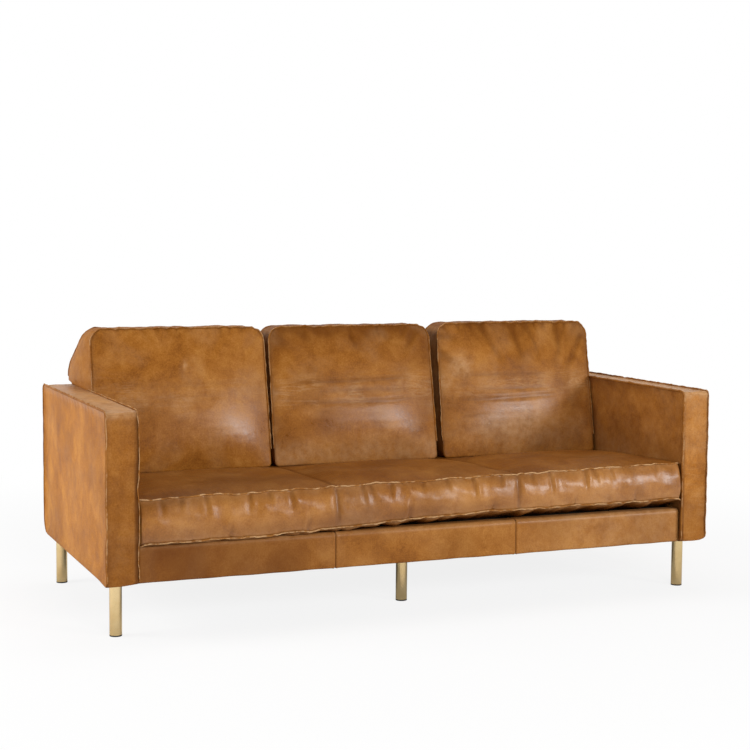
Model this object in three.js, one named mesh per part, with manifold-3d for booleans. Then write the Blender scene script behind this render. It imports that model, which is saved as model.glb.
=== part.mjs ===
// A worn three-seat leather sofa: timber frame, elastic webbing, foam, sewn leather covers with
// raw raised seams, one long seat cushion, three slumped back cushions and five brass tube legs.
// Millimetres. X runs along the sofa, +Y towards its back, +Z up.
// The origin is on the floor, under the middle of the sofa.
import * as THREE from "three";
import { mergeVertices } from "three/addons/utils/BufferGeometryUtils.js";
import Module from "manifold-3d";

const wasm = await Module();
wasm.setup();

// Overall sizes
const overallWidth = 2100;
const overallDepth = 950;
const armHeight = 690;
const armWidth = 102;
const legHeight = 172;

// Clearance between pieces that touch
const touchGap = 0.3;

// Leather and its raw raised seams
const leather = 2;
const seamFin = 5;
const seamThickness = 3;
const armCorner = 14;
const armHeelCorner = 46;
const armHeelTrim = 34;

// Seats
const seatCount = 3;
const seatFrontHeight = 436;
const seatRakeDeg = 2;
const seatCrown = 10;
const seatSideTilt = 11;
const seatFrontInset = 1;
const seatBackInset = 2;
const seatCorner = 24;
const seatBorderBulge = 6;
const frontLiftLeft = 6;
const frontLiftRight = 40;
const frontLiftDepth = 140;
const panelSeamHeight = 2.5;

// Front rail and deck
const railSetback = 20;
const railTopHeight = 285;
const railThickness = 30;
const railWrap = 45;
const railNose = 12;
const railFoot = 4;
const panelSeamDepth = 1;

// Back section
const backTopThickness = 98;
const backFootThickness = 168;
const backFoam = 22;
const backCorner = 10;
const backWrap = 45;
const hardboard = 3;

// Back cushions
const cushionTopHeight = 895;
const cushionFrontFoot = 112;
const cushionLeanDeg = 11;
const cushionTopThickness = 96;
const cushionSideGap = 7;
const cushionTopNarrow = 9;
const cushionCorner = 46;
const cushionFootCorner = 16;
const cushionCrown = 26;
const cushionRearCrown = 10;
const slumpReach = 54;
const slumpHeight = 46;
const borderBulge = 5;
const cushionLift = [3, 0, 5];

// Fillings and zips
const coreClearance = 1;
const zipWidth = 10;

// Frame timber and plywood
const timber = 30;
const armRailHeight = 40;
const armFoamSide = 8;
const armFoamEnd = 12;
const armPanel = 4;
const uprightThickness = 20;
const topRailHeight = 32;
const seatFrameBase = 6.6;

// Webbing and cloth
const webWidth = 60;
const webThickness = 2.5;
const websPerSeat = 3;
const backWebCount = 3;
const deckCloth = 2;
const dustCloth = 1;

// Legs
const legDiameter = 38;
const legWall = 1.5;
const legCap = 3;
const legInsetFront = 99;
const legInsetBack = 54;
const centreLegSetback = 227;
const studDiameter = 10;
const studLength = 30;
const studClearance = 0.4;
const legHoleClearance = 2;
const glideHeight = 4;
const glidePlug = 14;
const legSides = 28;

// Worked-out places
const halfWidth = overallWidth / 2;
const halfDepth = overallDepth / 2;
const innerHalf = halfWidth - armWidth;
const seatPitch = (2 * innerHalf) / seatCount;
const frontFace = -halfDepth + seamFin;
const backFace = halfDepth - seamFin;
const railFace = -halfDepth + railSetback;
const frameBottom = legHeight + seatFrameBase;
const seatSlope = Math.tan(THREE.MathUtils.degToRad(seatRakeDeg));
const cushionSlope = Math.tan(THREE.MathUtils.degToRad(cushionLeanDeg));
const insideBackTop = backFace - backTopThickness;
const insideBackFoot = backFace - backFootThickness;
const seatFront = -halfDepth + seatFrontInset;
const seatTopAt = (y) => seatFrontHeight - (y - seatFront) * seatSlope;
const deckTopAt = (y) => railTopHeight - (y - railFace) * seatSlope;
const backDeck = deckTopAt(insideBackFoot);
const backSlope = (insideBackTop - insideBackFoot) / (armHeight - backDeck);
const insideBackAt = (z) => insideBackTop - (armHeight - z) * backSlope;

const materials = {
  leather: new THREE.MeshStandardMaterial({ color: 0xa36a35, roughness: 0.42, metalness: 0 }),
  brass: new THREE.MeshStandardMaterial({ color: 0xb89a62, roughness: 0.3, metalness: 1 }),
  glide: new THREE.MeshStandardMaterial({ color: 0x201d19, roughness: 0.6, metalness: 0 }),
  timber: new THREE.MeshStandardMaterial({ color: 0xc9a878, roughness: 0.8, metalness: 0 }),
  plywood: new THREE.MeshStandardMaterial({ color: 0xb98f5e, roughness: 0.8, metalness: 0 }),
  foam: new THREE.MeshStandardMaterial({ color: 0xe6dcae, roughness: 0.95, metalness: 0 }),
  webbing: new THREE.MeshStandardMaterial({ color: 0x2b2a28, roughness: 0.9, metalness: 0 }),
  cloth: new THREE.MeshStandardMaterial({ color: 0x1d1c1b, roughness: 0.95, metalness: 0 }),
};

const sofa = new THREE.Group();

function addPiece(name, geometry, material, parent = sofa) {
  const mesh = new THREE.Mesh(geometry, material);
  mesh.name = name;
  parent.add(mesh);
  return mesh;
}

// Joins and cuts, on closed meshes
function solidOf(geometry) {
  const bare = geometry.clone();
  bare.deleteAttribute("normal");
  bare.deleteAttribute("uv");
  const merged = mergeVertices(bare, 1e-3);
  return new wasm.Manifold(
    new wasm.Mesh({
      numProp: 3,
      vertProperties: merged.attributes.position.array,
      triVerts: new Uint32Array(merged.index.array),
    }),
  );
}

function geometryOf(solid) {
  const mesh = solid.getMesh();
  const geometry = new THREE.BufferGeometry();
  geometry.setAttribute("position", new THREE.BufferAttribute(mesh.vertProperties, 3));
  geometry.setIndex(new THREE.BufferAttribute(mesh.triVerts, 1));
  geometry.computeVertexNormals();
  return geometry;
}

const joined = (first, ...others) =>
  others.reduce((whole, next) => whole.add(solidOf(next)), solidOf(first));
const cut = (solid, ...tools) =>
  tools.reduce((left, tool) => left.subtract(solidOf(tool)), solid);

// A block between two corners
function block([x0, x1], [y0, y1], [z0, z1]) {
  const geometry = new THREE.BoxGeometry(x1 - x0, y1 - y0, z1 - z0);
  geometry.translate((x0 + x1) / 2, (y0 + y1) / 2, (z0 + z1) / 2);
  return geometry;
}

// An outline drawn in the YZ plane, carried along X
const alongX = new THREE.Matrix4().makeBasis(
  new THREE.Vector3(0, 1, 0),
  new THREE.Vector3(0, 0, 1),
  new THREE.Vector3(1, 0, 0),
);

function extrudeX(shape, x0, x1, curveSegments = 5) {
  const settings = { depth: x1 - x0, bevelEnabled: false, curveSegments };
  const geometry = new THREE.ExtrudeGeometry(shape, settings);
  geometry.applyMatrix4(alongX);
  geometry.translate(x0, 0, 0);
  return geometry;
}

// A straight-sided outline whose corners are rounded. Each corner is [y, z, radius].
function roundedShape(corners) {
  const shape = new THREE.Shape();
  corners.forEach(([y, z, radius], i) => {
    const before = corners[(i + corners.length - 1) % corners.length];
    const after = corners[(i + 1) % corners.length];
    const here = new THREE.Vector2(y, z);
    const back = new THREE.Vector2(before[0] - y, before[1] - z).setLength(radius);
    const on = new THREE.Vector2(after[0] - y, after[1] - z).setLength(radius);
    const start = here.clone().add(back);
    const end = here.clone().add(on);
    if (i === 0) shape.moveTo(start.x, start.y);
    else shape.lineTo(start.x, start.y);
    if (radius > 0) shape.quadraticCurveTo(y, z, end.x, end.y);
  });
  shape.closePath();
  return shape;
}

function cylinderZ(radius, z0, z1, x, y, sides = legSides) {
  const geometry = new THREE.CylinderGeometry(radius, radius, z1 - z0, sides);
  geometry.rotateX(Math.PI / 2);
  geometry.translate(x, y, (z0 + z1) / 2);
  return geometry;
}

// Legs: a brass tube closed by a cap with a threaded stud, and a plastic glide pushed into its foot
const armMiddle = halfWidth - armWidth / 2;
const legPlaces = {
  front_left: [-armMiddle, -halfDepth + legInsetFront],
  front_right: [armMiddle, -halfDepth + legInsetFront],
  back_left: [-armMiddle, halfDepth - legInsetBack],
  back_right: [armMiddle, halfDepth - legInsetBack],
  centre: [0, -halfDepth + centreLegSetback],
};
const legTop = frameBottom - touchGap;

function legGeometry() {
  const outer = legDiameter / 2;
  const inner = outer - legWall;
  const foot = glideHeight + touchGap;
  const stud = studDiameter / 2;
  const profile = [
    [0, legTop - legCap],
    [inner, legTop - legCap],
    [inner, foot],
    [outer, foot],
    [outer, legTop],
    [stud, legTop],
    [stud, legTop + studLength],
    [0, legTop + studLength],
  ];
  const points = profile.map(([r, z]) => new THREE.Vector2(r, z));
  return new THREE.LatheGeometry(points, legSides).rotateX(Math.PI / 2);
}

function glideGeometry() {
  const outer = legDiameter / 2;
  const plug = outer - legWall - touchGap;
  const profile = [
    [0, 0],
    [outer, 0],
    [outer, glideHeight],
    [plug, glideHeight],
    [plug, glideHeight + glidePlug],
    [0, glideHeight + glidePlug],
  ];
  const points = profile.map(([r, z]) => new THREE.Vector2(r, z));
  return new THREE.LatheGeometry(points, legSides).rotateX(Math.PI / 2);
}

for (const [place, [x, y]] of Object.entries(legPlaces)) {
  const leg = new THREE.Group();
  leg.position.set(x, y, 0);
  addPiece(`leg_${place}`, legGeometry(), materials.brass, leg);
  addPiece(`glide_${place}`, glideGeometry(), materials.glide, leg);
  sofa.add(leg);
}

// A blind hole that a leg's stud screws into
const studHole = ([x, y]) =>
  cylinderZ(
    studDiameter / 2 + studClearance,
    frameBottom - timber,
    legTop + studLength + touchGap,
    x,
    y,
    16,
  );

// Arms, from the skin inwards: leather, foam, plywood outside panel, timber frame
const armSideOutline = (inset, heel = armHeelCorner) => {
  const corner = Math.max(armCorner - inset, 1);
  return roundedShape([
    [frontFace + inset, legHeight + inset, corner],
    [backFace - inset, legHeight + inset, Math.max(heel - inset, 1)],
    [backFace - inset, armHeight - inset, corner],
    [frontFace + inset, armHeight - inset, corner],
  ]);
};

function armPieces(side, sign) {
  const across = (from, to) => [sign * from, sign * to].sort((p, q) => p - q);
  const [skinLow, skinHigh] = across(innerHalf, halfWidth);
  const [voidLow, voidHigh] = across(innerHalf + leather, halfWidth - leather);
  const legsHere = Object.values(legPlaces).filter(([x]) => Math.sign(x) === sign);

  // The side panels stand proud of the border strip as raw raised seams.
  const finBelow = block(
    [skinLow - seamFin, skinHigh + seamFin],
    [-halfDepth - seamFin, halfDepth + seamFin],
    [legHeight - 2 * seamFin, legHeight],
  );
  const panel = armSideOutline(-seamFin);
  const skin = joined(
    extrudeX(armSideOutline(0), skinLow, skinHigh),
    extrudeX(panel, skinLow, skinLow + seamThickness),
    extrudeX(panel, skinHigh - seamThickness, skinHigh),
  );
  const cavity = extrudeX(armSideOutline(leather), voidLow, voidHigh);
  const legHoles = legsHere.map(([x, y]) =>
    cylinderZ(
      legDiameter / 2 + legHoleClearance,
      legHeight - 2 * seamFin,
      legHeight + 2 * seamFin,
      x,
      y,
    ),
  );
  addPiece(
    `arm_cover_${side}`,
    geometryOf(cut(skin, finBelow, cavity, ...legHoles)),
    materials.leather,
  );

  // Foam wraps the sides, top and ends, and is open underneath.
  const foamInset = leather + touchGap;
  const [foamLow, foamHigh] = across(innerHalf + foamInset, halfWidth - foamInset);
  const coreInner = innerHalf + foamInset + armFoamSide + touchGap;
  const coreOuter = halfWidth - foamInset - armFoamSide - touchGap;
  const [coreLow, coreHigh] = across(coreInner, coreOuter);
  const coreFront = frontFace + foamInset + armFoamEnd + touchGap;
  const coreBack = backFace - foamInset - armFoamEnd - touchGap;
  const coreTop = armHeight - foamInset - armFoamEnd - touchGap;
  const foam = cut(
    solidOf(extrudeX(armSideOutline(foamInset), foamLow, foamHigh)),
    block(
      [coreLow - touchGap, coreHigh + touchGap],
      [coreFront - touchGap, coreBack + touchGap],
      [legHeight, coreTop + touchGap],
    ),
  );
  addPiece(`arm_foam_${side}`, geometryOf(foam), materials.foam);

  // The outside panel covers the frame's outer face. Both are trimmed round the arm's heel.
  const trimmedTo = (top) =>
    roundedShape([
      [coreFront, frameBottom, 0],
      [coreBack, frameBottom, armHeelTrim],
      [coreBack, top, 0],
      [coreFront, top, 0],
    ]);
  const [panelLow, panelHigh] = across(coreOuter - armPanel, coreOuter);
  addPiece(
    `arm_panel_${side}`,
    extrudeX(trimmedTo(coreTop), panelLow, panelHigh),
    materials.plywood,
  );
  const frameAcross = across(coreInner, coreOuter - armPanel - touchGap);
  const bottomTop = frameBottom + armRailHeight;
  const topRailBottom = coreTop - topRailHeight;
  const bottomRail = cut(
    solidOf(extrudeX(trimmedTo(bottomTop), ...frameAcross)),
    ...legsHere.map(studHole),
  );
  addPiece(`arm_bottom_rail_${side}`, geometryOf(bottomRail), materials.timber);
  addPiece(
    `arm_top_rail_${side}`,
    block(frameAcross, [coreFront, coreBack], [topRailBottom, coreTop]),
    materials.timber,
  );
  const postHeights = [bottomTop + touchGap, topRailBottom - touchGap];
  addPiece(
    `arm_front_post_${side}`,
    block(frameAcross, [coreFront, coreFront + 2 * timber], postHeights),
    materials.timber,
  );
  addPiece(
    `arm_rear_post_${side}`,
    block(frameAcross, [coreBack - 2 * timber, coreBack], postHeights),
    materials.timber,
  );
}
armPieces("left", -1);
armPieces("right", 1);

// Seat box: four rails and a centre rail that the middle leg screws into
const boxHalf = innerHalf - touchGap;
const deckUnder = (y) => deckTopAt(y) - deckCloth - touchGap;
const webUnder = (y) => deckUnder(y) - webThickness - touchGap;
const railFront = railFace + leather + touchGap;
const railBack = railFront + railThickness;
const rearBoard = backFace - leather - touchGap - hardboard - touchGap;
const rearRailFront = rearBoard - railThickness;
const sideRailTop = (y) => webUnder(y) - touchGap;

// A rail whose top follows the slope of the deck
function slopedRail(x0, x1, y0, y1, bottom, top, nose = 0) {
  const shape = roundedShape([
    [y0, bottom(y0), 0],
    [y1, bottom(y1), 0],
    [y1, top(y1), 0],
    [y0, top(y0), nose],
  ]);
  return extrudeX(shape, x0, x1);
}
const boxBottom = () => frameBottom;

addPiece(
  "seat_rail_front",
  slopedRail(-boxHalf, boxHalf, railFront, railBack, boxBottom, sideRailTop, railNose),
  materials.timber,
);
addPiece(
  "seat_rail_rear",
  slopedRail(-boxHalf, boxHalf, rearRailFront, rearBoard, boxBottom, sideRailTop),
  materials.timber,
);
const betweenRails = [railBack + touchGap, rearRailFront - touchGap];
for (const [side, sign] of [["left", -1], ["right", 1]]) {
  const ends = [sign * boxHalf, sign * (boxHalf - railThickness)].sort((p, q) => p - q);
  addPiece(
    `seat_rail_${side}`,
    slopedRail(...ends, ...betweenRails, boxBottom, sideRailTop),
    materials.timber,
  );
}
addPiece(
  "seat_rail_centre",
  geometryOf(
    cut(
      solidOf(
        slopedRail(-railThickness, railThickness, ...betweenRails, boxBottom, sideRailTop),
      ),
      studHole(legPlaces.centre),
    ),
  ),
  materials.timber,
);

// Elastic webbing from the front rail to the rear rail, laid on the slope of the deck
const webFrom = railFront + railNose;
const webTo = rearBoard;
const webMiddle = (webFrom + webTo) / 2;
const webLength = (webTo - webFrom) / Math.cos(Math.atan(seatSlope)) - webThickness;
const webPitch = seatPitch / websPerSeat;
for (let i = 0; i < seatCount * websPerSeat; i += 1) {
  const web = addPiece(
    `seat_web_${i + 1}`,
    new THREE.BoxGeometry(webWidth, webLength, webThickness),
    materials.webbing,
  );
  const x = (i - (seatCount * websPerSeat - 1) / 2) * webPitch;
  web.position.set(x, webMiddle, deckUnder(webMiddle) - touchGap - webThickness / 2);
  web.rotation.x = -Math.atan(seatSlope);
}

// Back: wedge-shaped uprights, a top rail, webbing, foam, a hardboard outside panel and leather
const webFace = (z) => insideBackAt(z) + leather + touchGap + backFoam + touchGap;
const uprightFace = (z) => webFace(z) + webThickness + touchGap;
const backInnerTop = armHeight - leather - touchGap;
const topRailBottom = backInnerTop - topRailHeight;
const uprightFoot = railTopHeight + touchGap;

const uprightShape = roundedShape([
  [uprightFace(uprightFoot), uprightFoot, 0],
  [rearBoard, uprightFoot, 0],
  [rearBoard, topRailBottom - touchGap, 0],
  [uprightFace(topRailBottom), topRailBottom - touchGap, 0],
]);
for (let i = 0; i <= seatCount; i += 1) {
  const middle = (i / seatCount - 0.5) * 2 * (boxHalf - uprightThickness / 2);
  addPiece(
    `back_upright_${i + 1}`,
    extrudeX(uprightShape, middle - uprightThickness / 2, middle + uprightThickness / 2),
    materials.plywood,
  );
}
addPiece(
  "back_top_rail",
  extrudeX(
    roundedShape([
      [uprightFace(topRailBottom), topRailBottom, 0],
      [rearBoard, topRailBottom, 0],
      [rearBoard, backInnerTop, backCorner],
      [uprightFace(backInnerTop), backInnerTop, 0],
    ]),
    -boxHalf,
    boxHalf,
  ),
  materials.timber,
);
addPiece(
  "back_panel",
  block(
    [-boxHalf, boxHalf],
    [rearBoard + touchGap, rearBoard + touchGap + hardboard],
    [legHeight + backCorner + leather, armHeight - backCorner - leather],
  ),
  materials.plywood,
);

const backRake = Math.atan(backSlope);
const backWebPitch = (topRailBottom - uprightFoot) / (backWebCount + 1);
for (let i = 1; i <= backWebCount; i += 1) {
  const z = uprightFoot + i * backWebPitch;
  const web = addPiece(
    `back_web_${i}`,
    new THREE.BoxGeometry(2 * boxHalf, webThickness, webWidth),
    materials.webbing,
  );
  web.position.set(0, webFace(z) + webThickness / 2 + touchGap / 2, z);
  web.rotation.x = -backRake;
}

// Foam over the back webbing, from the deck to the top of the frame
const foamFace = (z) => insideBackAt(z) + leather + touchGap;
const backFoot = backDeck + touchGap;
addPiece(
  "back_foam",
  extrudeX(
    roundedShape([
      [foamFace(backFoot), backFoot, 0],
      [webFace(backFoot) - touchGap, backFoot, 0],
      [webFace(backInnerTop) - touchGap, backInnerTop, 0],
      [foamFace(backInnerTop), backInnerTop, backCorner],
    ]),
    -boxHalf,
    boxHalf,
  ),
  materials.foam,
);

// The back's leather: up the inside back, over the top, down the outside and under the rear rail
const backSkin = cut(
  solidOf(
    extrudeX(
      roundedShape([
        [insideBackAt(backFoot), backFoot, 0],
        [backFace - backWrap, backFoot, 0],
        [backFace - backWrap, legHeight, 0],
        [backFace, legHeight, backCorner],
        [backFace, armHeight, backCorner],
        [insideBackTop, armHeight, backCorner],
      ]),
      -boxHalf,
      boxHalf,
    ),
  ),
  extrudeX(
    roundedShape([
      [insideBackAt(backFoot - seamFin) + leather, backFoot - seamFin, 0],
      [backFace - backWrap - seamFin, backFoot - seamFin, 0],
      [backFace - backWrap - seamFin, legHeight + leather, 0],
      [backFace - leather, legHeight + leather, backCorner - leather],
      [backFace - leather, armHeight - leather, backCorner - leather],
      [insideBackAt(armHeight - leather) + leather, armHeight - leather, backCorner - leather],
    ]),
    -boxHalf - seamFin,
    boxHalf + seamFin,
  ),
);
addPiece("back_cover", geometryOf(backSkin), materials.leather);

// Front rail leather, in one panel for each seat with a stitched seam between them
function railSkin(x0, x1, depth) {
  const outer = roundedShape([
    [railFace + depth, legHeight + depth, railFoot],
    [railFace + railWrap, legHeight + depth, 0],
    [railFace + railWrap, deckTopAt(railFace + railWrap) - depth, 0],
    [railFace + depth, railTopHeight - depth, railNose],
  ]);
  const inner = roundedShape([
    [railFace + leather, legHeight + leather, railFoot - leather],
    [railFace + railWrap + seamFin, legHeight + leather, 0],
    [railFace + railWrap + seamFin, deckTopAt(railFace + railWrap + seamFin) - leather, 0],
    [railFace + leather, railTopHeight - leather, railNose - leather],
  ]);
  return cut(
    solidOf(extrudeX(outer, x0, x1)),
    extrudeX(inner, x0 - seamFin, x1 + seamFin),
  );
}
let railCover = railSkin(-boxHalf, boxHalf, 0);
for (let i = 1; i < seatCount; i += 1) {
  const seam = -innerHalf + i * seatPitch;
  const half = seamThickness / 2;
  const groove = railSkin(seam - half, seam + half, 0).subtract(
    railSkin(seam - seamThickness, seam + seamThickness, panelSeamDepth),
  );
  railCover = railCover.subtract(groove);
}
addPiece("rail_cover", geometryOf(railCover), materials.leather);

// Deck cloth over the webbing, from behind the rail's leather to the back's foot
const deckFrom = railFace + railWrap + touchGap;
const deckTo = rearRailFront;
const deckBottomAt = (y) => deckTopAt(y) - deckCloth;
addPiece(
  "seat_deck",
  slopedRail(-boxHalf, boxHalf, deckFrom, deckTo, deckBottomAt, deckTopAt),
  materials.cloth,
);

// Thin cloth stapled under the seat box, cut out round the middle leg
const dustTop = frameBottom - touchGap;
addPiece(
  "dust_cover",
  geometryOf(
    cut(
      solidOf(
        block(
          [-boxHalf, boxHalf],
          [railBack + touchGap, rearRailFront - touchGap],
          [dustTop - dustCloth, dustTop],
        ),
      ),
      cylinderZ(
        legDiameter / 2 + legHoleClearance,
        dustTop - 2 * seamFin,
        dustTop + 2 * seamFin,
        ...legPlaces.centre,
      ),
    ),
  ),
  materials.cloth,
);

// Soft forms. A cushion is a box of small faces: a and b run over its panels from -1 to 1, and
// each row across its border has a depth c from -1 to 1 and stands out from the outline by out.
function softForm(aStations, bStations, rows, place) {
  const geometry = new THREE.BoxGeometry(
    2,
    2,
    2,
    aStations.length - 1,
    bStations.length - 1,
    rows.length - 1,
  );
  const position = geometry.attributes.position;
  const pick = (list, value) => list[Math.round(((value + 1) / 2) * (list.length - 1))];
  for (let i = 0; i < position.count; i += 1) {
    const a = pick(aStations, position.getX(i));
    const b = pick(bStations, position.getY(i));
    const row = pick(rows, position.getZ(i));
    position.setXYZ(i, ...place(a, b, row));
  }
  return geometry;
}

// Stations along one side of a cushion: fine over its round corners, even between them
function stations(half, lowRadius, highRadius, count) {
  const bend = Math.tan(Math.PI / 8);
  const list = [-half, -half + lowRadius * (1 - bend)];
  for (let i = 0; i <= count; i += 1) {
    const from = -half + lowRadius;
    const to = half - highRadius;
    list.push(from + ((to - from) * i) / count);
  }
  list.push(half - highRadius * (1 - bend), half);
  return list.map((value) => value / half);
}

// Rows across a border with a raised raw seam at each panel
function seamRows(bulge, depth) {
  const edge = seamThickness / depth;
  return [
    { c: -1, out: 0 },
    { c: -1 + edge, out: seamFin },
    { c: -1 + 2 * edge, out: 0 },
    { c: 0, out: bulge },
    { c: 1 - 2 * edge, out: 0 },
    { c: 1 - edge, out: seamFin },
    { c: 1, out: 0 },
  ];
}
const plainRows = [
  { c: -1, out: 0 },
  { c: 1, out: 0 },
];

// A point of a rounded outline: the square's corners are drawn in to arcs.
function outlinePoint(a, b, half, height, radiusAt, out) {
  const radius = radiusAt(b);
  const u = a * half;
  const v = b * height;
  const du = Math.sign(u) * Math.max(Math.abs(u) - (half - radius), 0);
  const dv = Math.sign(v) * Math.max(Math.abs(v) - (height - radius), 0);
  const length = Math.hypot(du, dv);
  const keep = length > 0 ? Math.max(Math.abs(du), Math.abs(dv)) / length : 1;
  const onEdge = Math.abs(a) === 1 || Math.abs(b) === 1;
  const grow = onEdge && length > 0 ? out / length : 0;
  return [u - du + du * (keep + grow), v - dv + dv * (keep + grow)];
}

const smooth = (t) => {
  const s = Math.min(Math.max(t, 0), 1);
  return s * s * (3 - 2 * s);
};
const domed = (a, power) => 1 - Math.abs(a) ** power;

// Seat cushion: one long cushion whose front has sunk on the left and curled up on the right
const seatBack = insideBackFoot - seatBackInset;
const seatStandOut = Math.max(seamFin, seatBorderBulge);
const seatHalf = innerHalf - touchGap - seatStandOut;
const seatDepthHalf = (seatBack - seatFront) / 2 - seatStandOut;
const seatMiddle = (seatBack + seatFront) / 2;
const seatThickness = seatFrontHeight - railTopHeight;
// Behind this line the back cushions rest on the seat, and its top is flat.
const seatRestLine = cushionFrontFoot - cushionCrown;

function seatPlace(inset, fins) {
  const half = seatHalf - inset;
  const depthHalf = seatDepthHalf - inset;
  return (a, b, { c, out }) => {
    const [x, dy] = outlinePoint(a, b, half, depthHalf, () => seatCorner, fins ? out : 0);
    const y = seatMiddle + dy;
    const frontness = smooth((seatRestLine - y) / (seatRestLine - seatFront));
    const seatWave = Math.abs(Math.sin((Math.PI * (x + innerHalf)) / seatPitch));
    const crown = seatCrown * seatWave * domed(b, 4) * smooth((seatRestLine - y) / 120);
    const tilt = seatSideTilt * (x / innerHalf) * frontness;
    const top = seatTopAt(y) + tilt + crown - inset;
    const lift = frontLiftLeft + (frontLiftRight - frontLiftLeft) * smooth(0.72 + x / 1000);
    const nearFront = smooth((seatFront + frontLiftDepth - y) / frontLiftDepth);
    const bottom = deckTopAt(y) + touchGap + lift * nearFront + inset;
    return [x, y, bottom + ((top - bottom) * (c + 1)) / 2];
  };
}

const seatA = stations(seatHalf, seatCorner, seatCorner, 4 * seatCount);
const seatB = stations(seatDepthHalf, seatCorner, seatCorner, 6);
const seatBInFront = seatB.filter((b) => seatMiddle + b * seatDepthHalf < seatRestLine);
seatB.splice(seatBInFront.length, 0, (seatRestLine - seatMiddle) / seatDepthHalf);
const coarseA = stations(seatHalf, seatCorner, seatCorner, 2 * seatCount);
const coarseB = stations(seatDepthHalf, seatCorner, seatCorner, 3);
const seatOuter = solidOf(
  softForm(seatA, seatB, seamRows(seatBorderBulge, seatThickness), seatPlace(0, true)),
);
const seatCavity = softForm(coarseA, coarseB, plainRows, seatPlace(2 * leather, false));
const seatZip = block(
  [-innerHalf / 2, innerHalf / 2],
  [seatBack - 4 * seamFin, seatBack + seamFin],
  [
    deckTopAt(seatBack) + seatThickness / 2 - zipWidth / 2,
    deckTopAt(seatBack) + seatThickness / 2 + zipWidth / 2,
  ],
);
// The panel seams stand up as low ridges all the way round.
const seatRaised = solidOf(
  softForm(seatA, seatB, plainRows, seatPlace(-panelSeamHeight, false)),
);
let seatSkin = seatOuter;
for (let i = 1; i < seatCount; i += 1) {
  const x = -innerHalf + i * seatPitch;
  const ridge = seatRaised.intersect(
    solidOf(
      block(
        [x - seamThickness / 2, x + seamThickness / 2],
        [seatFront - seamFin, cushionFrontFoot],
        [seatFrontHeight - seatThickness / 2, seatFrontHeight + seatThickness],
      ),
    ),
  );
  seatSkin = seatSkin.add(ridge);
}
addPiece(
  "seat_cushion_cover",
  geometryOf(cut(seatSkin, seatCavity, seatZip)),
  materials.leather,
);
addPiece(
  "seat_cushion_core",
  softForm(coarseA, coarseB, plainRows, seatPlace(2 * leather + coreClearance, false)),
  materials.foam,
);

// Back cushions: boxed, leaning back, thin at the top, and slumped over the top of the frame
const cushionFoot = (y) => seatTopAt(y) + touchGap;
const cushionFrontAt = (z) =>
  cushionFrontFoot + (z - seatTopAt(cushionFrontFoot)) * cushionSlope;

function cushionRearAt(z) {
  const frameTop = armHeight + touchGap;
  const against = insideBackAt(Math.min(z, frameTop)) - touchGap;
  if (z <= frameTop - slumpHeight * 0.2) return against;
  const topRear = cushionFrontAt(cushionTopHeight) + cushionTopThickness;
  const rise = (z - frameTop) / (cushionTopHeight - frameTop);
  const over = insideBackTop + slumpReach * smooth((z - frameTop) / slumpHeight);
  if (z <= frameTop) return against;
  const backIn = smooth((rise - 0.2) / 0.8);
  return over + (topRear - insideBackTop - slumpReach) * backIn;
}

function cushionPlace(seat, inset, fins) {
  const middle = -innerHalf + (seat + 0.5) * seatPitch;
  const half = seatPitch / 2 - cushionSideGap - seamFin - inset;
  const top = cushionTopHeight + cushionLift[seat] - seamFin - inset;
  const radiusAt = (b) => Math.max((b > 0 ? cushionCorner : cushionFootCorner) - inset, 2);
  return (a, b, { c, out }) => {
    const foot = seatTopAt(cushionFrontFoot);
    const height = (top - foot) / 2;
    const [dx, dz] = outlinePoint(a, b, half, height, radiusAt, fins ? out : 0);
    const narrow = 1 - (cushionTopNarrow / half) * smooth((b + 1) / 2);
    const restBack = insideBackAt(foot);
    const restY = restBack + ((cushionFrontFoot - restBack) * (c + 1)) / 2;
    const rest = (cushionFoot(restY) + inset - foot) * (1 - smooth((b + 1) * 4));
    const z = Math.max(foot + height + dz, foot) + rest;
    const face = domed(a, 3) * domed(b, 3);
    const front = cushionFrontAt(z) + inset - (c === 1 ? cushionCrown * face : 0);
    const over = smooth((z - armHeight - slumpHeight) / slumpHeight);
    const rear = cushionRearAt(z) - inset + (c === -1 ? cushionRearCrown * face * over : 0);
    const y = rear + ((front - rear) * (c + 1)) / 2;
    return [middle + dx * narrow, y, z];
  };
}

// Heights where the cushion bends, so that its faces follow the frame's top edge
function cushionStations(seat, inset, levels) {
  const foot = seatTopAt(cushionFrontFoot);
  const top = cushionTopHeight + cushionLift[seat] - seamFin - inset;
  const height = (top - foot) / 2;
  const bend = Math.tan(Math.PI / 8);
  const edge = armHeight - foot;
  const offsets = [
    0,
    cushionFootCorner,
    ...levels.map((share) => edge * share),
    edge,
    edge + touchGap * 2,
    edge + slumpHeight / 2,
    edge + slumpHeight,
    edge + 2 * slumpHeight,
    2 * height - cushionCorner,
    2 * height - cushionCorner * (1 - bend),
    2 * height,
  ];
  return offsets.map((offset) => offset / height - 1);
}

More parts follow.
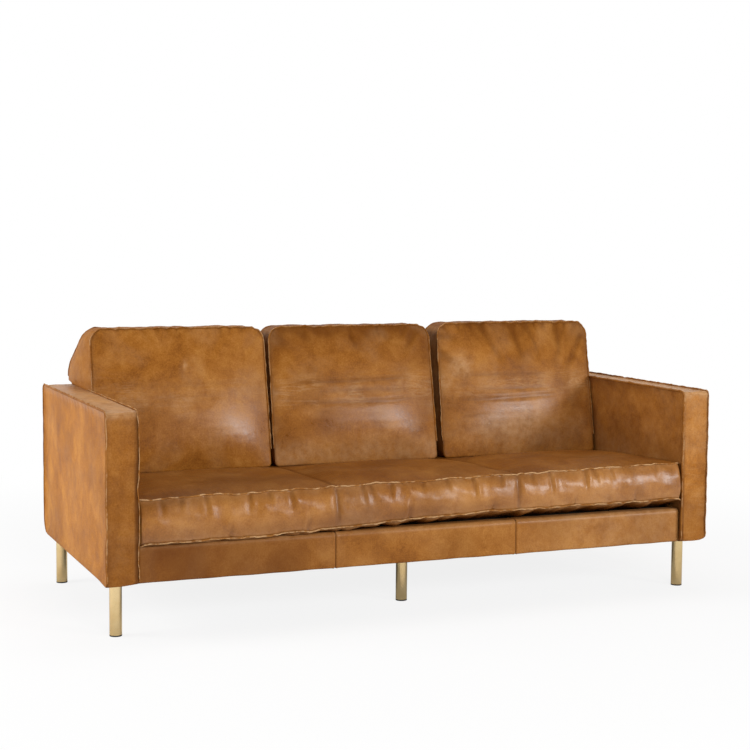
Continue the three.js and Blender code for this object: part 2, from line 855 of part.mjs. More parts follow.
const cushionHalf = seatPitch / 2 - cushionSideGap - seamFin;
const seatNames = ["left", "centre", "right"];
for (let seat = 0; seat < seatCount; seat += 1) {
  const name = seatNames[seat];
  const fineA = stations(cushionHalf, cushionCorner, cushionCorner, 7);
  const roughA = stations(cushionHalf, cushionCorner, cushionCorner, 3);
  const fineB = cushionStations(seat, 0, [0.25, 0.5, 0.75]);
  const roughB = cushionStations(seat, 0, [0.5]);
  const depth = insideBackTop - cushionFrontFoot;
  const outer = solidOf(
    softForm(fineA, fineB, seamRows(borderBulge, depth), cushionPlace(seat, 0, true)),
  );
  const cavity = softForm(roughA, roughB, plainRows, cushionPlace(seat, 2 * leather, false));
  const middle = -innerHalf + (seat + 0.5) * seatPitch;
  const zip = block(
    [middle - seatPitch / 3, middle + seatPitch / 3],
    [cushionFrontFoot + depth / 2 - zipWidth / 2, cushionFrontFoot + depth / 2 + zipWidth / 2],
    [cushionFoot(insideBackTop) - 4 * seamFin, cushionFoot(cushionFrontFoot) + 4 * seamFin],
  );
  addPiece(`back_cushion_cover_${name}`, geometryOf(cut(outer, cavity, zip)), materials.leather);
  addPiece(
    `back_cushion_core_${name}`,
    softForm(roughA, roughB, plainRows, cushionPlace(seat, 2 * leather + coreClearance, false)),
    materials.foam,
  );
}

export default sofa;
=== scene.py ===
import math

import bpy
import numpy as np
from mathutils import Matrix, Vector


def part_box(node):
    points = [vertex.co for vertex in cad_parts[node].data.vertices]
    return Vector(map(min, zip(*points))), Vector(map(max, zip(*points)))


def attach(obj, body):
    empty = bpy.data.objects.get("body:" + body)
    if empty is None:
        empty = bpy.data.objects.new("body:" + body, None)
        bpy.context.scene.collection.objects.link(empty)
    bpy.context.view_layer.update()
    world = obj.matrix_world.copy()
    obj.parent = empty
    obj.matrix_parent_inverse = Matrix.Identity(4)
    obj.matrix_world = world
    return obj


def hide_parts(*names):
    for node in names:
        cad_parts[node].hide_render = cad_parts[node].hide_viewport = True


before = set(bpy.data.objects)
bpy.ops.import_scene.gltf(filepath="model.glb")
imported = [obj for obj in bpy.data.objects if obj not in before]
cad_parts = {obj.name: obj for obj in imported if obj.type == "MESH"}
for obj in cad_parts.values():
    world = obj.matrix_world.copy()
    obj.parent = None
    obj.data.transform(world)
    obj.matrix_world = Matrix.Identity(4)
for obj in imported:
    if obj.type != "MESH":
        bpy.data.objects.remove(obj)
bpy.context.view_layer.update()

scene = bpy.context.scene
mm = 0.001

# Camera: a long lens at sitting eye height, in front of the sofa's left end, turned a little
# towards its middle and tipped slightly down.
camera_data = bpy.data.cameras.new("camera")
camera_data.sensor_width = 36
camera_data.lens = 75.47
camera = bpy.data.objects.new("camera", camera_data)
scene.collection.objects.link(camera)
scene.camera = camera
camera_turn, camera_tip, camera_roll = 0.398, 0.086, 0.008
look = Vector((
    math.sin(camera_turn) * math.cos(camera_tip),
    math.cos(camera_turn) * math.cos(camera_tip),
    -math.sin(camera_tip),
))
level = Vector((math.cos(camera_turn), -math.sin(camera_turn), 0))
over = level.cross(look)
right = level * math.cos(camera_roll) + over * math.sin(camera_roll)
up = over * math.cos(camera_roll) - level * math.sin(camera_roll)
camera.matrix_world = Matrix.LocRotScale(
    Vector((-2.092, -4.982, 1.2)),
    Matrix((right, up, -look)).transposed(),
    None,
)
scene.view_settings.view_transform = "Standard"


# Studio: a plain pale floor that runs out into a white background, a soft white surround, a dark
# wall and ceiling round the camera, and four soft boxes: left, front right, front and overhead.
def node(tree, kind, inputs=None, **settings):
    """Adds one shader node. Each input takes a value, or the output of another node."""
    made = tree.nodes.new("ShaderNode" + kind)
    for key, value in settings.items():
        setattr(made, key, value)
    for key, value in (inputs or {}).items():
        if isinstance(value, bpy.types.NodeSocket):
            tree.links.new(value, made.inputs[key])
        else:
            made.inputs[key].default_value = value
    return made


def maths(operation, *values, clamp=False):
    return node(values[0].id_data, "Math", dict(enumerate(values)), operation=operation,
                use_clamp=clamp).outputs[0]


def between(value, low, high, to_low=0, to_high=1, **settings):
    """Carries a value from one range to another, held at the ends."""
    return node(value.id_data, "MapRange", {
        "Value": value, "From Min": low, "From Max": high, "To Min": to_low, "To Max": to_high,
    }, **settings).outputs[0]


def seen_directly(tree):
    """1 for rays that come from the camera, a mirror or clear glass, and 0 for the rest."""
    path = node(tree, "LightPath").outputs
    first = maths("MAXIMUM", path["Is Camera Ray"], path["Is Glossy Ray"])
    return maths("MAXIMUM", first, path["Is Transmission Ray"])


def start_material(name):
    """An empty node material, with the object's own coordinates ready to read."""
    paint = bpy.data.materials.new(name)
    paint.use_nodes = True
    tree = paint.node_tree
    tree.nodes.clear()
    return paint, tree, node(tree, "TexCoord").outputs["Object"]


def plain_mesh(name, corners, faces, paint):
    mesh = bpy.data.meshes.new(name)
    mesh.from_pydata(corners, [], faces)
    mesh.materials.append(paint)
    made = bpy.data.objects.new(name, mesh)
    scene.collection.objects.link(made)
    return made


world = bpy.data.worlds.new("studio")
scene.world = world
world.use_nodes = True
tree = world.node_tree
tree.nodes.clear()
strength = between(seen_directly(tree), 0, 1, 0.4, 1)
surround = node(tree, "Background", {"Color": (1, 1, 1, 1), "Strength": strength})
node(tree, "OutputWorld", {"Surface": surround.outputs[0]})

floor_paint, tree, place = start_material("floor_paint")
matt = node(tree, "BsdfDiffuse", {"Color": (0.86, 0.86, 0.86, 1)})
white = node(tree, "Emission", {"Color": (1, 1, 1, 1), "Strength": 1})
away = node(tree, "VectorMath", {0: place}, operation="LENGTH").outputs["Value"]
nearby = between(node(tree, "LightPath").outputs["Is Glossy Ray"], 0, 1, 0.85, 0.05)
fade = between(away, 1.2, 3, nearby, 1, interpolation_type="SMOOTHSTEP")
share = maths("MULTIPLY", fade, seen_directly(tree))
blend = node(tree, "MixShader", {0: share, 1: matt.outputs[0], 2: white.outputs[0]})
node(tree, "OutputMaterial", {"Surface": blend.outputs[0]})
floor = plain_mesh("floor", [(-40, -40, 0), (40, -40, 0), (40, 40, 0), (-40, 40, 0)],
                   [(0, 1, 2, 3)], floor_paint)

wall_paint, tree, place = start_material("wall_paint")
dark = node(tree, "BsdfDiffuse", {"Color": (0.07, 0.055, 0.045, 1)})
node(tree, "OutputMaterial", {"Surface": dark.outputs[0]})
wall = plain_mesh("dark_wall", [
    (-11, -7.5, 0.02), (11, -7.5, 0.02), (-11, -7.5, 5), (11, -7.5, 5), (-11, 0.8, 6.2),
    (11, 0.8, 6.2)], [(0, 1, 3, 2), (2, 3, 5, 4)], wall_paint)
wall.visible_camera = False

for name, place, target, size, watts in [
    ("left_soft_box", (-4.6, 0.4, 1.9), (-1, 0, 0.5), (2.4, 1.8), 138),
    ("front_soft_box", (4.1, -6.1, 2.6), (0.3, 0, 0.5), (1.9, 1.15), 218),
    ("fill_soft_box", (-0.6, -6, 2.6), (0.4, 0, 0.5), (2.6, 1.6), 186),
    ("top_soft_box", (0.3, 0.4, 4.2), (0, 0, 0.4), (3, 1.6), 60),
]:
    lamp_data = bpy.data.lights.new(name, "AREA")
    lamp_data.shape = "RECTANGLE"
    lamp_data.size, lamp_data.size_y = size
    lamp_data.energy = watts
    lamp = bpy.data.objects.new(name, lamp_data)
    lamp.location = place
    lamp.visible_glossy = name != "fill_soft_box"
    lamp.rotation_euler = (Vector(target) - Vector(place)).to_track_quat("-Z", "Y").to_euler()
    scene.collection.objects.link(lamp)


# Legs: five brass tubes with satin, slightly clouded lacquer. They are solid parts of the frame
# model and keep their shape. Each stands on a dark moulded glide pushed into its foot.
def noise(place, scale, detail=4, rough=0.55, stretch=None, twist=0):
    """Soft random field from 0 to 1. stretch multiplies the coordinates on each axis."""
    if stretch is not None:
        place = node(place.id_data, "Mapping", {"Vector": place, "Scale": stretch}).outputs[0]
    return node(place.id_data, "TexNoise", {
        "Vector": place, "Scale": scale, "Detail": detail, "Roughness": rough,
        "Distortion": twist}).outputs["Fac"]


def weighed(*terms, clamp=False):
    """The sum of the terms, each a value times its weight."""
    total = 0
    for value, weight in terms:
        total = maths("MULTIPLY_ADD", value, weight, total, clamp=clamp)
    return total


def mixed(share, first, second):
    """Colour between two others."""
    inputs = {0: share, 6: first, 7: second}
    return node(share.id_data, "Mix", inputs, data_type="RGBA").outputs[2]


def finish_material(paint, tree, colour, rough, height, depth, others=None):
    """The shader, with a relief of the given depth in metres."""
    relief = node(tree, "Bump", {"Strength": 1, "Distance": depth, "Height": height})
    shader = node(tree, "BsdfPrincipled", {
        "Base Color": colour, "Roughness": rough, "Normal": relief.outputs[0], **(others or {})})
    node(tree, "OutputMaterial", {"Surface": shader.outputs[0]})
    return paint


def repaint(names, paint):
    """Gives frame parts another finish."""
    for name in names:
        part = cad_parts[name]
        part.data.materials.clear()
        part.data.materials.append(paint)


def brass_finish():
    """Lacquered brass: fine marks round the tube, and clouds where the lacquer has dulled."""
    paint, tree, place = start_material("satin_brass")
    clouds = noise(place, 11, 5, 0.6)
    rings = noise(place, 60, 3, 0.6, (1, 1, 9))
    colour = mixed(between(clouds, 0.3, 0.75), (0.68, 0.49, 0.22, 1),
                   (0.86, 0.67, 0.37, 1))
    gloss = maths("ADD", between(clouds, 0.3, 0.7, 0.05, 0.11),
                  between(rings, 0.2, 0.8, 0, 0.04))
    return finish_material(paint, tree, colour, gloss, rings, 0.00002, {"Metallic": 1})


def moulded_finish():
    """Dark moulded plastic with a fine spark texture."""
    paint, tree, place = start_material("dark_glide")
    spark = noise(place, 900, 2)
    colour = mixed(spark, (0.012, 0.01, 0.009, 1), (0.03, 0.026, 0.022, 1))
    return finish_material(paint, tree, colour, 0.55, spark, 0.0001)


leg_names = ["front_left", "front_right", "back_left", "back_right", "centre"]
repaint(["leg_" + name for name in leg_names], brass_finish())
repaint(["glide_" + name for name in leg_names], moulded_finish())


# Inner frame: sawn timber rails, plywood uprights and panels, foam pads, and elastic webbing.
# All of it is inside the upholstery and stays as the frame model has it.
def timber_finish(name, pale, deep, stretch):
    """Sawn wood: long grain bands, darker late wood, and a rough cut."""
    paint, tree, place = start_material(name)
    grain = noise(place, 7, 6, 0.6, stretch, 0.6)
    fibre = noise(place, 160, 3, 0.5, stretch)
    colour = mixed(between(grain, 0.3, 0.7), pale, deep)
    return finish_material(paint, tree, colour, 0.8, fibre, 0.0003)


def cell_finish(name, pale, deep, scale):
    """Open cells, as in foam or felted cloth."""
    paint, tree, place = start_material(name)
    cells = node(tree, "TexVoronoi", {"Vector": place, "Scale": scale}).outputs["Distance"]
    clouds = noise(place, 9)
    colour = mixed(between(clouds, 0.3, 0.7), pale, deep)
    return finish_material(paint, tree, colour, 0.95, cells, 0.0006)


def woven_finish(name, thread, shadow, pitch):
    """Plain weave: two crossing waves whose crests are the threads."""
    paint, tree, place = start_material(name)
    warp, weft = (
        node(tree, "TexWave", {"Vector": place, "Scale": 0.31 / pitch, "Distortion": 0.4},
             bands_direction=way).outputs["Fac"] for way in "XY")
    cloth = maths("MULTIPLY", warp, weft)
    dust = noise(place, 6, 5)
    colour = mixed(between(cloth, 0.1, 0.8), shadow, thread)
    colour = mixed(between(dust, 0.45, 0.8, 0, 0.25), colour, (0.25, 0.22, 0.18, 1))
    return finish_material(paint, tree, colour, 0.9, cloth, 0.0004)


along = timber_finish("sawn_timber", (0.6, 0.42, 0.22, 1), (0.42, 0.26, 0.12, 1),
                      (0.6, 4, 9))
repaint([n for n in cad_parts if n.startswith("seat_rail_") or n == "back_top_rail"
         or n.startswith("arm_") and ("rail" in n or "post" in n)], along)
sheets = timber_finish("plywood", (0.55, 0.36, 0.19, 1), (0.4, 0.24, 0.11, 1), (3, 3, 0.8))
repaint([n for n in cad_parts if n.startswith(("back_upright_", "arm_panel_"))
         or n == "back_panel"], sheets)
foam = cell_finish("foam", (0.8, 0.72, 0.47, 1), (0.7, 0.6, 0.36, 1), 700)
repaint([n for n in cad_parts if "foam" in n or "_core" in n], foam)
webbing = woven_finish("webbing", (0.035, 0.034, 0.033, 1), (0.01, 0.01, 0.01, 1), 0.002)
repaint([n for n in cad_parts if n.startswith(("seat_web_", "back_web_"))], webbing)


# Deck and dust cover: a dark woven cloth laid over the webs behind the front rail, and a thin
# black felted cloth stapled under the seat box, sagging a little between the rails.
def mesh_piece(name, points, quads, paint, marks=None):
    """A mesh object from points in millimetres, four-cornered faces, and values per point."""
    mesh = bpy.data.meshes.new(name)
    mesh.vertices.add(len(points))
    mesh.vertices.foreach_set("co", np.asarray(points * mm, np.float32).ravel())
    mesh.loops.add(quads.size)
    mesh.loops.foreach_set("vertex_index", np.asarray(quads, np.int32).ravel())
    mesh.polygons.add(len(quads))
    mesh.polygons.foreach_set("loop_start", np.arange(0, quads.size, 4, dtype=np.int32))
    mesh.update(calc_edges=True)
    mesh.polygons.foreach_set("use_smooth", np.ones(len(quads), bool))
    for key, values in (marks or {}).items():
        mesh.attributes.new(key, "FLOAT", "POINT").data.foreach_set(
            "value", np.asarray(values, np.float32))
    mesh.materials.append(paint)
    piece = bpy.data.objects.new(name, mesh)
    scene.collection.objects.link(piece)
    return piece


def grid_quads(ids):
    """Faces between the numbered points of a grid."""
    corners = [ids[:-1, :-1], ids[1:, :-1], ids[1:, 1:], ids[:-1, 1:]]
    return np.stack(corners, axis=-1).reshape(-1, 4)


def sheet_quads(grid):
    return grid_quads(np.arange(grid.size).reshape(grid.shape))


def thicken(piece, thickness):
    solid = piece.modifiers.new("thickness", "SOLIDIFY")
    solid.thickness = thickness
    solid.offset = -1


def flat_cloth(name, node_name, paint, sag, thickness, bays, tilt):
    """A sheet over the box of a frame part: flat, less a sag that is a sine over each bay."""
    low, high = (np.array(v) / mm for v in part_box(node_name))
    u, v = np.meshgrid(np.linspace(0, 1, 145), np.linspace(0, 1, 61), indexing="ij")
    x, y = low[0] + u * (high[0] - low[0]), low[1] + v * (high[1] - low[1])
    z = high[2] - 0.2 - tilt * v * (high[2] - low[2])
    z = z - sag * np.abs(np.sin(np.pi * bays * u)) ** 0.6 * np.sin(np.pi * v)
    z = z - 0.25 * np.sin(37 * u + 5 * v) * np.sin(23 * v)
    piece = mesh_piece(name, np.stack([x, y, z], -1).reshape(-1, 3), sheet_quads(x), paint)
    thicken(piece, thickness)
    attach(piece, "root")
    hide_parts(node_name)
    size = (high - low) * mm
    return piece, (float(size[0]), float(math.hypot(size[1], tilt * (high[2] - low[2]) * mm)))


deck_paint = woven_finish("deck_cloth", (0.04, 0.03, 0.022, 1), (0.012, 0.009, 0.007, 1), 0.0016)
deck, deck_flat = flat_cloth("deck_cloth_sheet", "seat_deck", deck_paint, 0, 0.0018, 9, 0.93)
felt = cell_finish("dust_cloth", (0.018, 0.017, 0.017, 1), (0.01, 0.01, 0.01, 1), 1500)
dust, dust_flat = flat_cloth("dust_cloth_sheet", "dust_cover", felt, 2.5, 0.0008, 2, 0)


# Arms: upright slabs wrapped in thick waxed leather. Flat inner and outer panels are sewn to a
# narrow border strip, and the cut edges of the seam stand out in a wavy lip all round.
def leather_finish(name, tint=1):
    """Waxed leather: broad clouds of colour, a finer mottle and specks over a brown ramp; darker
    where burnished and where shade and shadow are painted in, paler where rubbed, where sheen is
    painted in and along creases, pale and matt in dashes on cut edges.
    Its relief is pebbled grain, upright wrinkles and level creases, each scaled by a mark."""
    paint, tree, place = start_material(name)
    mark = {key: node(tree, "Attribute", attribute_name=key).outputs["Fac"]
            for key in ("burnish", "rub", "raw", "polish", "wrinkle", "crease")}
    clouds = noise(place, 2.6, 5, 0.55, twist=0.6)
    mottle = noise(place, 13, 7, 0.68, twist=0.3)
    specks = noise(place, 210, 3, 0.6)
    fine = noise(place, 72, 5, 0.7)
    pebbles = node(tree, "TexVoronoi", {"Vector": place, "Scale": 620, "Smoothness": 0.6},
                   feature="SMOOTH_F1").outputs[0]
    ramp = node(tree, "ValToRGB", {
        0: weighed((clouds, 0.34), (mottle, 0.42), (specks, 0.24))})
    browns = [(0.39, (0.205, 0.066, 0.009)), (0.5, (0.332, 0.123, 0.019)),
              (0.61, (0.452, 0.195, 0.042))]
    stops = ramp.color_ramp.elements
    stops.new(0.5)
    for stop, (position, shade) in zip(stops, browns):
        stop.position = position
        stop.color = tuple(min(part * tint, 1) for part in shade) + (1,)
    burnish_and_shade_brown, rub_and_sheen_tan = (0.122, 0.036, 0.0045, 1), (0.56, 0.335, 0.165, 1)
    cut_edge = (0.62, 0.41, 0.22, 1)

    def times(first, second, clamp=False):
        return maths("MULTIPLY", first, second, clamp=clamp)

    def grooves(stretch):
        """Lines where a stretched noise crosses its middle."""
        lines = noise(place, 1, 5, 0.6, stretch, 0.8)
        off = maths("ABSOLUTE", maths("SUBTRACT", lines, 0.5))
        return between(off, 0, 0.05, 1, 0)

    wrinkles = times(grooves((38, 38, 11)), mark["wrinkle"])
    broken = between(noise(place, 9, 3, 0.6), 0.44, 0.6, 0.08, 0.85)
    creases = times(times(grooves((5, 5, 44)), mark["crease"]), broken)
    # The burnish mark darkens towards a deep brown: real burnished leather, and painted shade and
    # shadow in seams, folds and shaded places.
    colour = mixed(times(mark["burnish"], 0.78, clamp=True), ramp.outputs[0], burnish_and_shade_brown)
    # The rub mark and the creases pale the colour: worn leather, and on the right back cushion
    # painted sheen.
    patchy = between(noise(place, 38, 6, 0.7), 0.32, 0.68, 0.25, 1)
    worn_and_sheen = weighed((mark["rub"], patchy), (creases, 0.55), clamp=True)
    colour = mixed(times(worn_and_sheen, 0.6), colour, rub_and_sheen_tan)
    dashes = between(noise(place, 30, 4, 0.65), 0.43, 0.56, 0.12, 1)
    colour = mixed(times(mark["raw"], dashes, clamp=True), colour, cut_edge)
    gloss = weighed((between(mottle, 0.3, 0.7, 0.4, 0.54), 1),
                    (mark["polish"], -0.15), (mark["raw"], 0.35))
    height = weighed((pebbles, 0.1), (wrinkles, -0.42), (creases, -0.5),
                     (mottle, 0.6), (fine, 0.26))
    return finish_material(paint, tree, colour, gloss, height, 0.0011, {
        "IOR": 1.47, "Specular IOR Level": between(mark["polish"], 0, 1, 0.03, 0.46),
        "Coat Weight": times(mark["polish"], 0.05), "Coat Roughness": 0.3})


def box_skin(a, b, c):
    """The outer points of the lattice a by b by c, each once, and the faces between them. Gives
    the points' three parameters, the faces, and each point's number on the lattice."""
    inside = np.ones((len(a), len(b), len(c)), bool)
    inside[1:-1, 1:-1, 1:-1] = False
    ids = np.full(inside.shape, -1)
    ids[inside] = np.arange(inside.sum())
    i, j, k = np.nonzero(inside)
    quads = np.concatenate([
        grid_quads(ids[:, :, -1]), grid_quads(ids[:, :, 0])[:, ::-1],
        grid_quads(ids[-1]), grid_quads(ids[0])[:, ::-1],
        grid_quads(ids[:, -1])[:, ::-1], grid_quads(ids[:, 0]),
    ])
    return np.stack([a[i], b[j], c[k]], axis=1), quads, ids


def rim(ids, layer):
    """Point numbers once round the edge of a box skin's panel, in order."""
    face = ids[:, :, layer]
    return np.concatenate([face[:-1, 0], face[-1, :-1], face[:0:-1, -1], face[0, :0:-1]])


def rounded(u, v, half, height, corner):
    """Draws the corner squares of a rectangle in to arcs. A point's larger offset from the arc's
    centre becomes its radius, and its direction stays."""
    du = np.sign(u) * np.maximum(np.abs(u) - (half - corner), 0)
    dv = np.sign(v) * np.maximum(np.abs(v) - (height - corner), 0)
    far = np.hypot(du, dv)
    keep = np.where(far > 0, np.maximum(np.abs(du), np.abs(dv)) / np.where(far > 0, far, 1), 1)
    return u - du + du * keep, v - dv + dv * keep


def smooth(t):
    t = np.clip(t, 0, 1)
    return t * t * (3 - 2 * t)


def hump(offset, width):
    """1 at no offset, falling off to both sides as a bell."""
    return np.exp(-(offset / width) ** 2)


def fading(distance, length):
    """1 at no distance, and 0.37 at the given length."""
    return np.exp(-distance / length)


def unit(vectors):
    return vectors / np.maximum(np.linalg.norm(vectors, axis=-1, keepdims=True), 1e-9)


def ends(at):
    """-1 or 1 where a lattice parameter is at one of its ends, and 0 between them."""
    return np.where(np.abs(at) > 0.999, np.sign(at), 0)


def ripple(s, length, wave, seed, closed=True):
    """Random wave of about unit size along a line: sines whose lengths lie near the given one.
    On a closed line each goes round a whole number of times."""
    pick = np.random.default_rng(seed)
    total = np.zeros_like(s, float)
    for share in (0.55, 0.8, 1, 1.35, 1.9, 2.6):
        turns = max(length * share / wave, 1)
        turns = round(turns) if closed else turns
        size = pick.uniform(0.5, 1) / share ** 0.5
        total += size * np.sin(2 * np.pi * turns * s / length + pick.uniform(0, 2 * np.pi))
    return total / 1.9


def field(u, v, wave, seed):
    """Random smooth field of about unit size over a surface: sines of random direction."""
    pick = np.random.default_rng(seed)
    total = np.zeros_like(u, float)
    for _ in range(9):
        turn = pick.uniform(0, 2 * np.pi)
        size = wave * pick.uniform(0.6, 1.6)
        phase = pick.uniform(0, 2 * np.pi)
        total += np.sin(2 * np.pi * (u * np.cos(turn) + v * np.sin(turn)) / size + phase)
    return total / 3


def patches(u, v, wave, seed):
    """The positive part of a random field, at most 1, for marks that come in clouds."""
    return np.clip(field(u, v, wave, seed), 0, 1)


def point_normals(points, quads):
    """Each point's outward direction, from the faces round it."""
    across = points[quads[:, 2]] - points[quads[:, 0]]
    down = points[quads[:, 3]] - points[quads[:, 1]]
    faces = np.cross(across, down)
    total = np.zeros_like(points)
    for corner in range(4):
        np.add.at(total, quads[:, corner], faces)
    return unit(total)


def finer(stations):
    """The same stations, and one half way between each two."""
    return np.insert(stations, np.arange(1, len(stations)), (stations[1:] + stations[:-1]) / 2)


def swelling(points, quads, hold, slack, pressure, reach, frames, stretch, bend):
    """How far each point moves when the filling pushes the skin out, by the cloth solver. Points
    with hold 1 stay. slack, from 0 to 1, is how much more leather than needed was sewn in, up to
    stretch. No point moves further than reach, in millimetres."""
    mesh = bpy.data.meshes.new("stuffing")
    mesh.from_pydata((points * mm).tolist(), [], quads.tolist())
    skin = bpy.data.objects.new("stuffing", mesh)
    scene.collection.objects.link(skin)
    for name, weight in (("hold", hold), ("slack", slack)):
        group = skin.vertex_groups.new(name=name)
        steps = np.round(weight * 10).astype(int)
        for step in range(1, 11):
            chosen = np.nonzero(steps == step)[0]
            if len(chosen):
                group.add(chosen.tolist(), step / 10, "REPLACE")
    cloth = skin.modifiers.new("stuffing", "CLOTH").settings
    for key, value in {
        "quality": 4, "mass": 0.002, "tension_stiffness": 8, "compression_stiffness": 8,
        "shear_stiffness": 3, "bending_stiffness": bend, "tension_damping": 1,
        "compression_damping": 1, "shear_damping": 1, "air_damping": 1,
        "vertex_group_mass": "hold", "vertex_group_shrink": "slack", "shrink_min": 0,
        "shrink_max": -stretch, "use_pressure": True, "uniform_pressure_force": pressure,
    }.items():
        setattr(cloth, key, value)
    cloth.effector_weights.gravity = 0
    for step in range(1, frames + 1):
        scene.frame_set(step)
    shape = skin.evaluated_get(bpy.context.evaluated_depsgraph_get())
    moved = np.empty(len(points) * 3, np.float32)
    shape.data.vertices.foreach_get("co", moved)
    moved = moved.reshape(-1, 3).astype(float) / mm - points
    bpy.data.objects.remove(skin)
    scene.frame_set(1)
    length = np.linalg.norm(moved, axis=1, keepdims=True)
    return moved * np.minimum(1, reach / np.maximum(length, 1e-9))


def stuffed(shape, pins, stations, pressure, reach, frames=12, stretch=0.05, bend=0.06):
    """A filled skin. shape turns lattice parameters into points, and pins gives hold and slack
    there. The solver runs on the lattice, its movement is carried to a lattice twice as fine by
    averaging neighbours, and is added to the shape there. Gives parameters, points, faces, ids."""
    at, quads, ids = box_skin(*stations)
    fine_at, fine_quads, fine_ids = box_skin(*map(finer, stations))
    points = shape(fine_at)
    moved = np.zeros(ids.shape + (3,))
    moved[ids >= 0] = swelling(shape(at), quads, *pins(at), pressure, reach, frames,
                               stretch, bend)
    for axis in range(3):
        moved = np.moveaxis(moved, axis, 0)
        wider = np.empty((2 * len(moved) - 1,) + moved.shape[1:])
        wider[0::2] = moved
        wider[1::2] = (moved[1:] + moved[:-1]) / 2
        moved = np.moveaxis(wider, 0, axis)
    points = points + moved[fine_ids >= 0]
    return fine_at, points, fine_quads, fine_ids


def raw_lip(path, out, height, thickness, seed, lean=1):
    """The cut edges of a seam: a flat strip with a rounded tip, carried along the seam. Its
    height and lean follow random waves. Gives points, faces and how raw each point is."""
    side = unit(np.cross(out, unit(np.gradient(path, axis=0))))
    steps = np.linalg.norm(np.diff(path, axis=0, append=path[-1:]), axis=1)
    s, length = np.concatenate([[0], np.cumsum(steps)[:-1]]), steps.sum()

    def wave(size, number):
        return ripple(s, length, size, seed + number, False)

    tall = height * (1 + 0.16 * wave(70, 0) + 0.12 * wave(22, 1))
    swing = lean * (0.9 * wave(110, 2) + 0.5 * wave(30, 3))
    across = np.array([-0.5, -0.5, -0.42, 0, 0.42, 0.5, 0.5, 0]) * thickness
    along_out = np.array([-0.45, 0.45, 0.92, 1, 0.92, 0.45, -0.45, -0.55])
    rise = along_out[None] * tall[:, None]
    shift = across[None] + swing[:, None] * np.clip(along_out, 0, 1)[None] ** 1.5
    points = path[:, None] + out[:, None] * rise[..., None] + side[:, None] * shift[..., None]
    raw = np.tile(np.array([0, 0.25, 0.8, 1, 0.8, 0.25, 0, 0]), (len(path), 1))
    ids = np.arange(raw.size).reshape(raw.shape)
    quads = grid_quads(np.concatenate([ids, ids[:, :1]], axis=1))[:, [0, 3, 2, 1]]
    caps = np.array([[0, 1, 6, 7], [1, 2, 5, 6], [2, 3, 4, 5]])
    quads = np.concatenate([quads, caps[:, ::-1], caps + ids[-1, 0]])
    return points.reshape(-1, 3), quads, raw.ravel()


def open_lip(path, out, shown, height, thickness, seed, lean):
    """A raw lip along the shown part of a closed ring, which has to be one run."""
    start = np.flatnonzero(~shown & np.roll(shown, -1))[0] + 1
    order = np.roll(np.arange(len(path)), -start)
    order = order[shown[order]]
    return raw_lip(path[order], out[order], height, thickness, seed, lean)


def seam_ring(at, points, ids, layer, across, tip):
    """The seam round one panel of a box skin, and the way its lip stands out: straight off the
    border, tipped over by tip. across turns the first two parameters into X, Y and Z."""
    ring = rim(ids, layer)
    return points[ring], unit(unit(ends(at[ring])[:, :2] @ np.array(across, float)) + tip)


def add_lips(name, lips, paint, pale=0.5):
    """One piece from several raw lips. pale is how much of their cut edges shows."""
    points, quads, raws = zip(*lips)
    starts = np.cumsum([0] + [len(part) for part in points])
    quads = np.concatenate([part + start for part, start in zip(quads, starts)])
    raw = pale * np.concatenate(raws)
    piece = mesh_piece(name, np.concatenate(points), quads, paint,
                       {"raw": raw, "burnish": 0.65 - 0.35 * raw})
    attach(piece, "root")
    return piece


def seam_stations(half, corner, count):
    """Stations from -1 to 1 along a side: evenly over the straight part, and over each round
    corner in as many steps as its arc needs."""
    turn = np.tan(np.linspace(0, np.pi / 4, 6)[1:])
    inner = np.linspace(-(half - corner), half - corner, count)
    low = -(half - corner) - corner * turn[::-1]
    high = (half - corner) + corner * turn
    return np.concatenate([low, inner, high]) / half


# Painted light: the arms' copy of the leather is made 16% lighter for the stronger light on the
# arms.
arm_leather = leather_finish("arm_leather", 1.16)
arm_low, arm_high = 172, 690
arm_front, arm_back = -470, 470
arm_inner, arm_outer = 948.6, 1049


def cut_corner(u, v, radius):
    """Brings points that lie past both sides of a corner square in to its arc. u and v are the
    distances past the arc's centre towards the two sides."""
    u_in, v_in = np.maximum(u, 0), np.maximum(v, 0)
    far = np.hypot(u_in, v_in)
    keep = np.where(far > radius, radius / np.maximum(far, 1e-9), 1)
    return u + u_in * (keep - 1), v + v_in * (keep - 1)


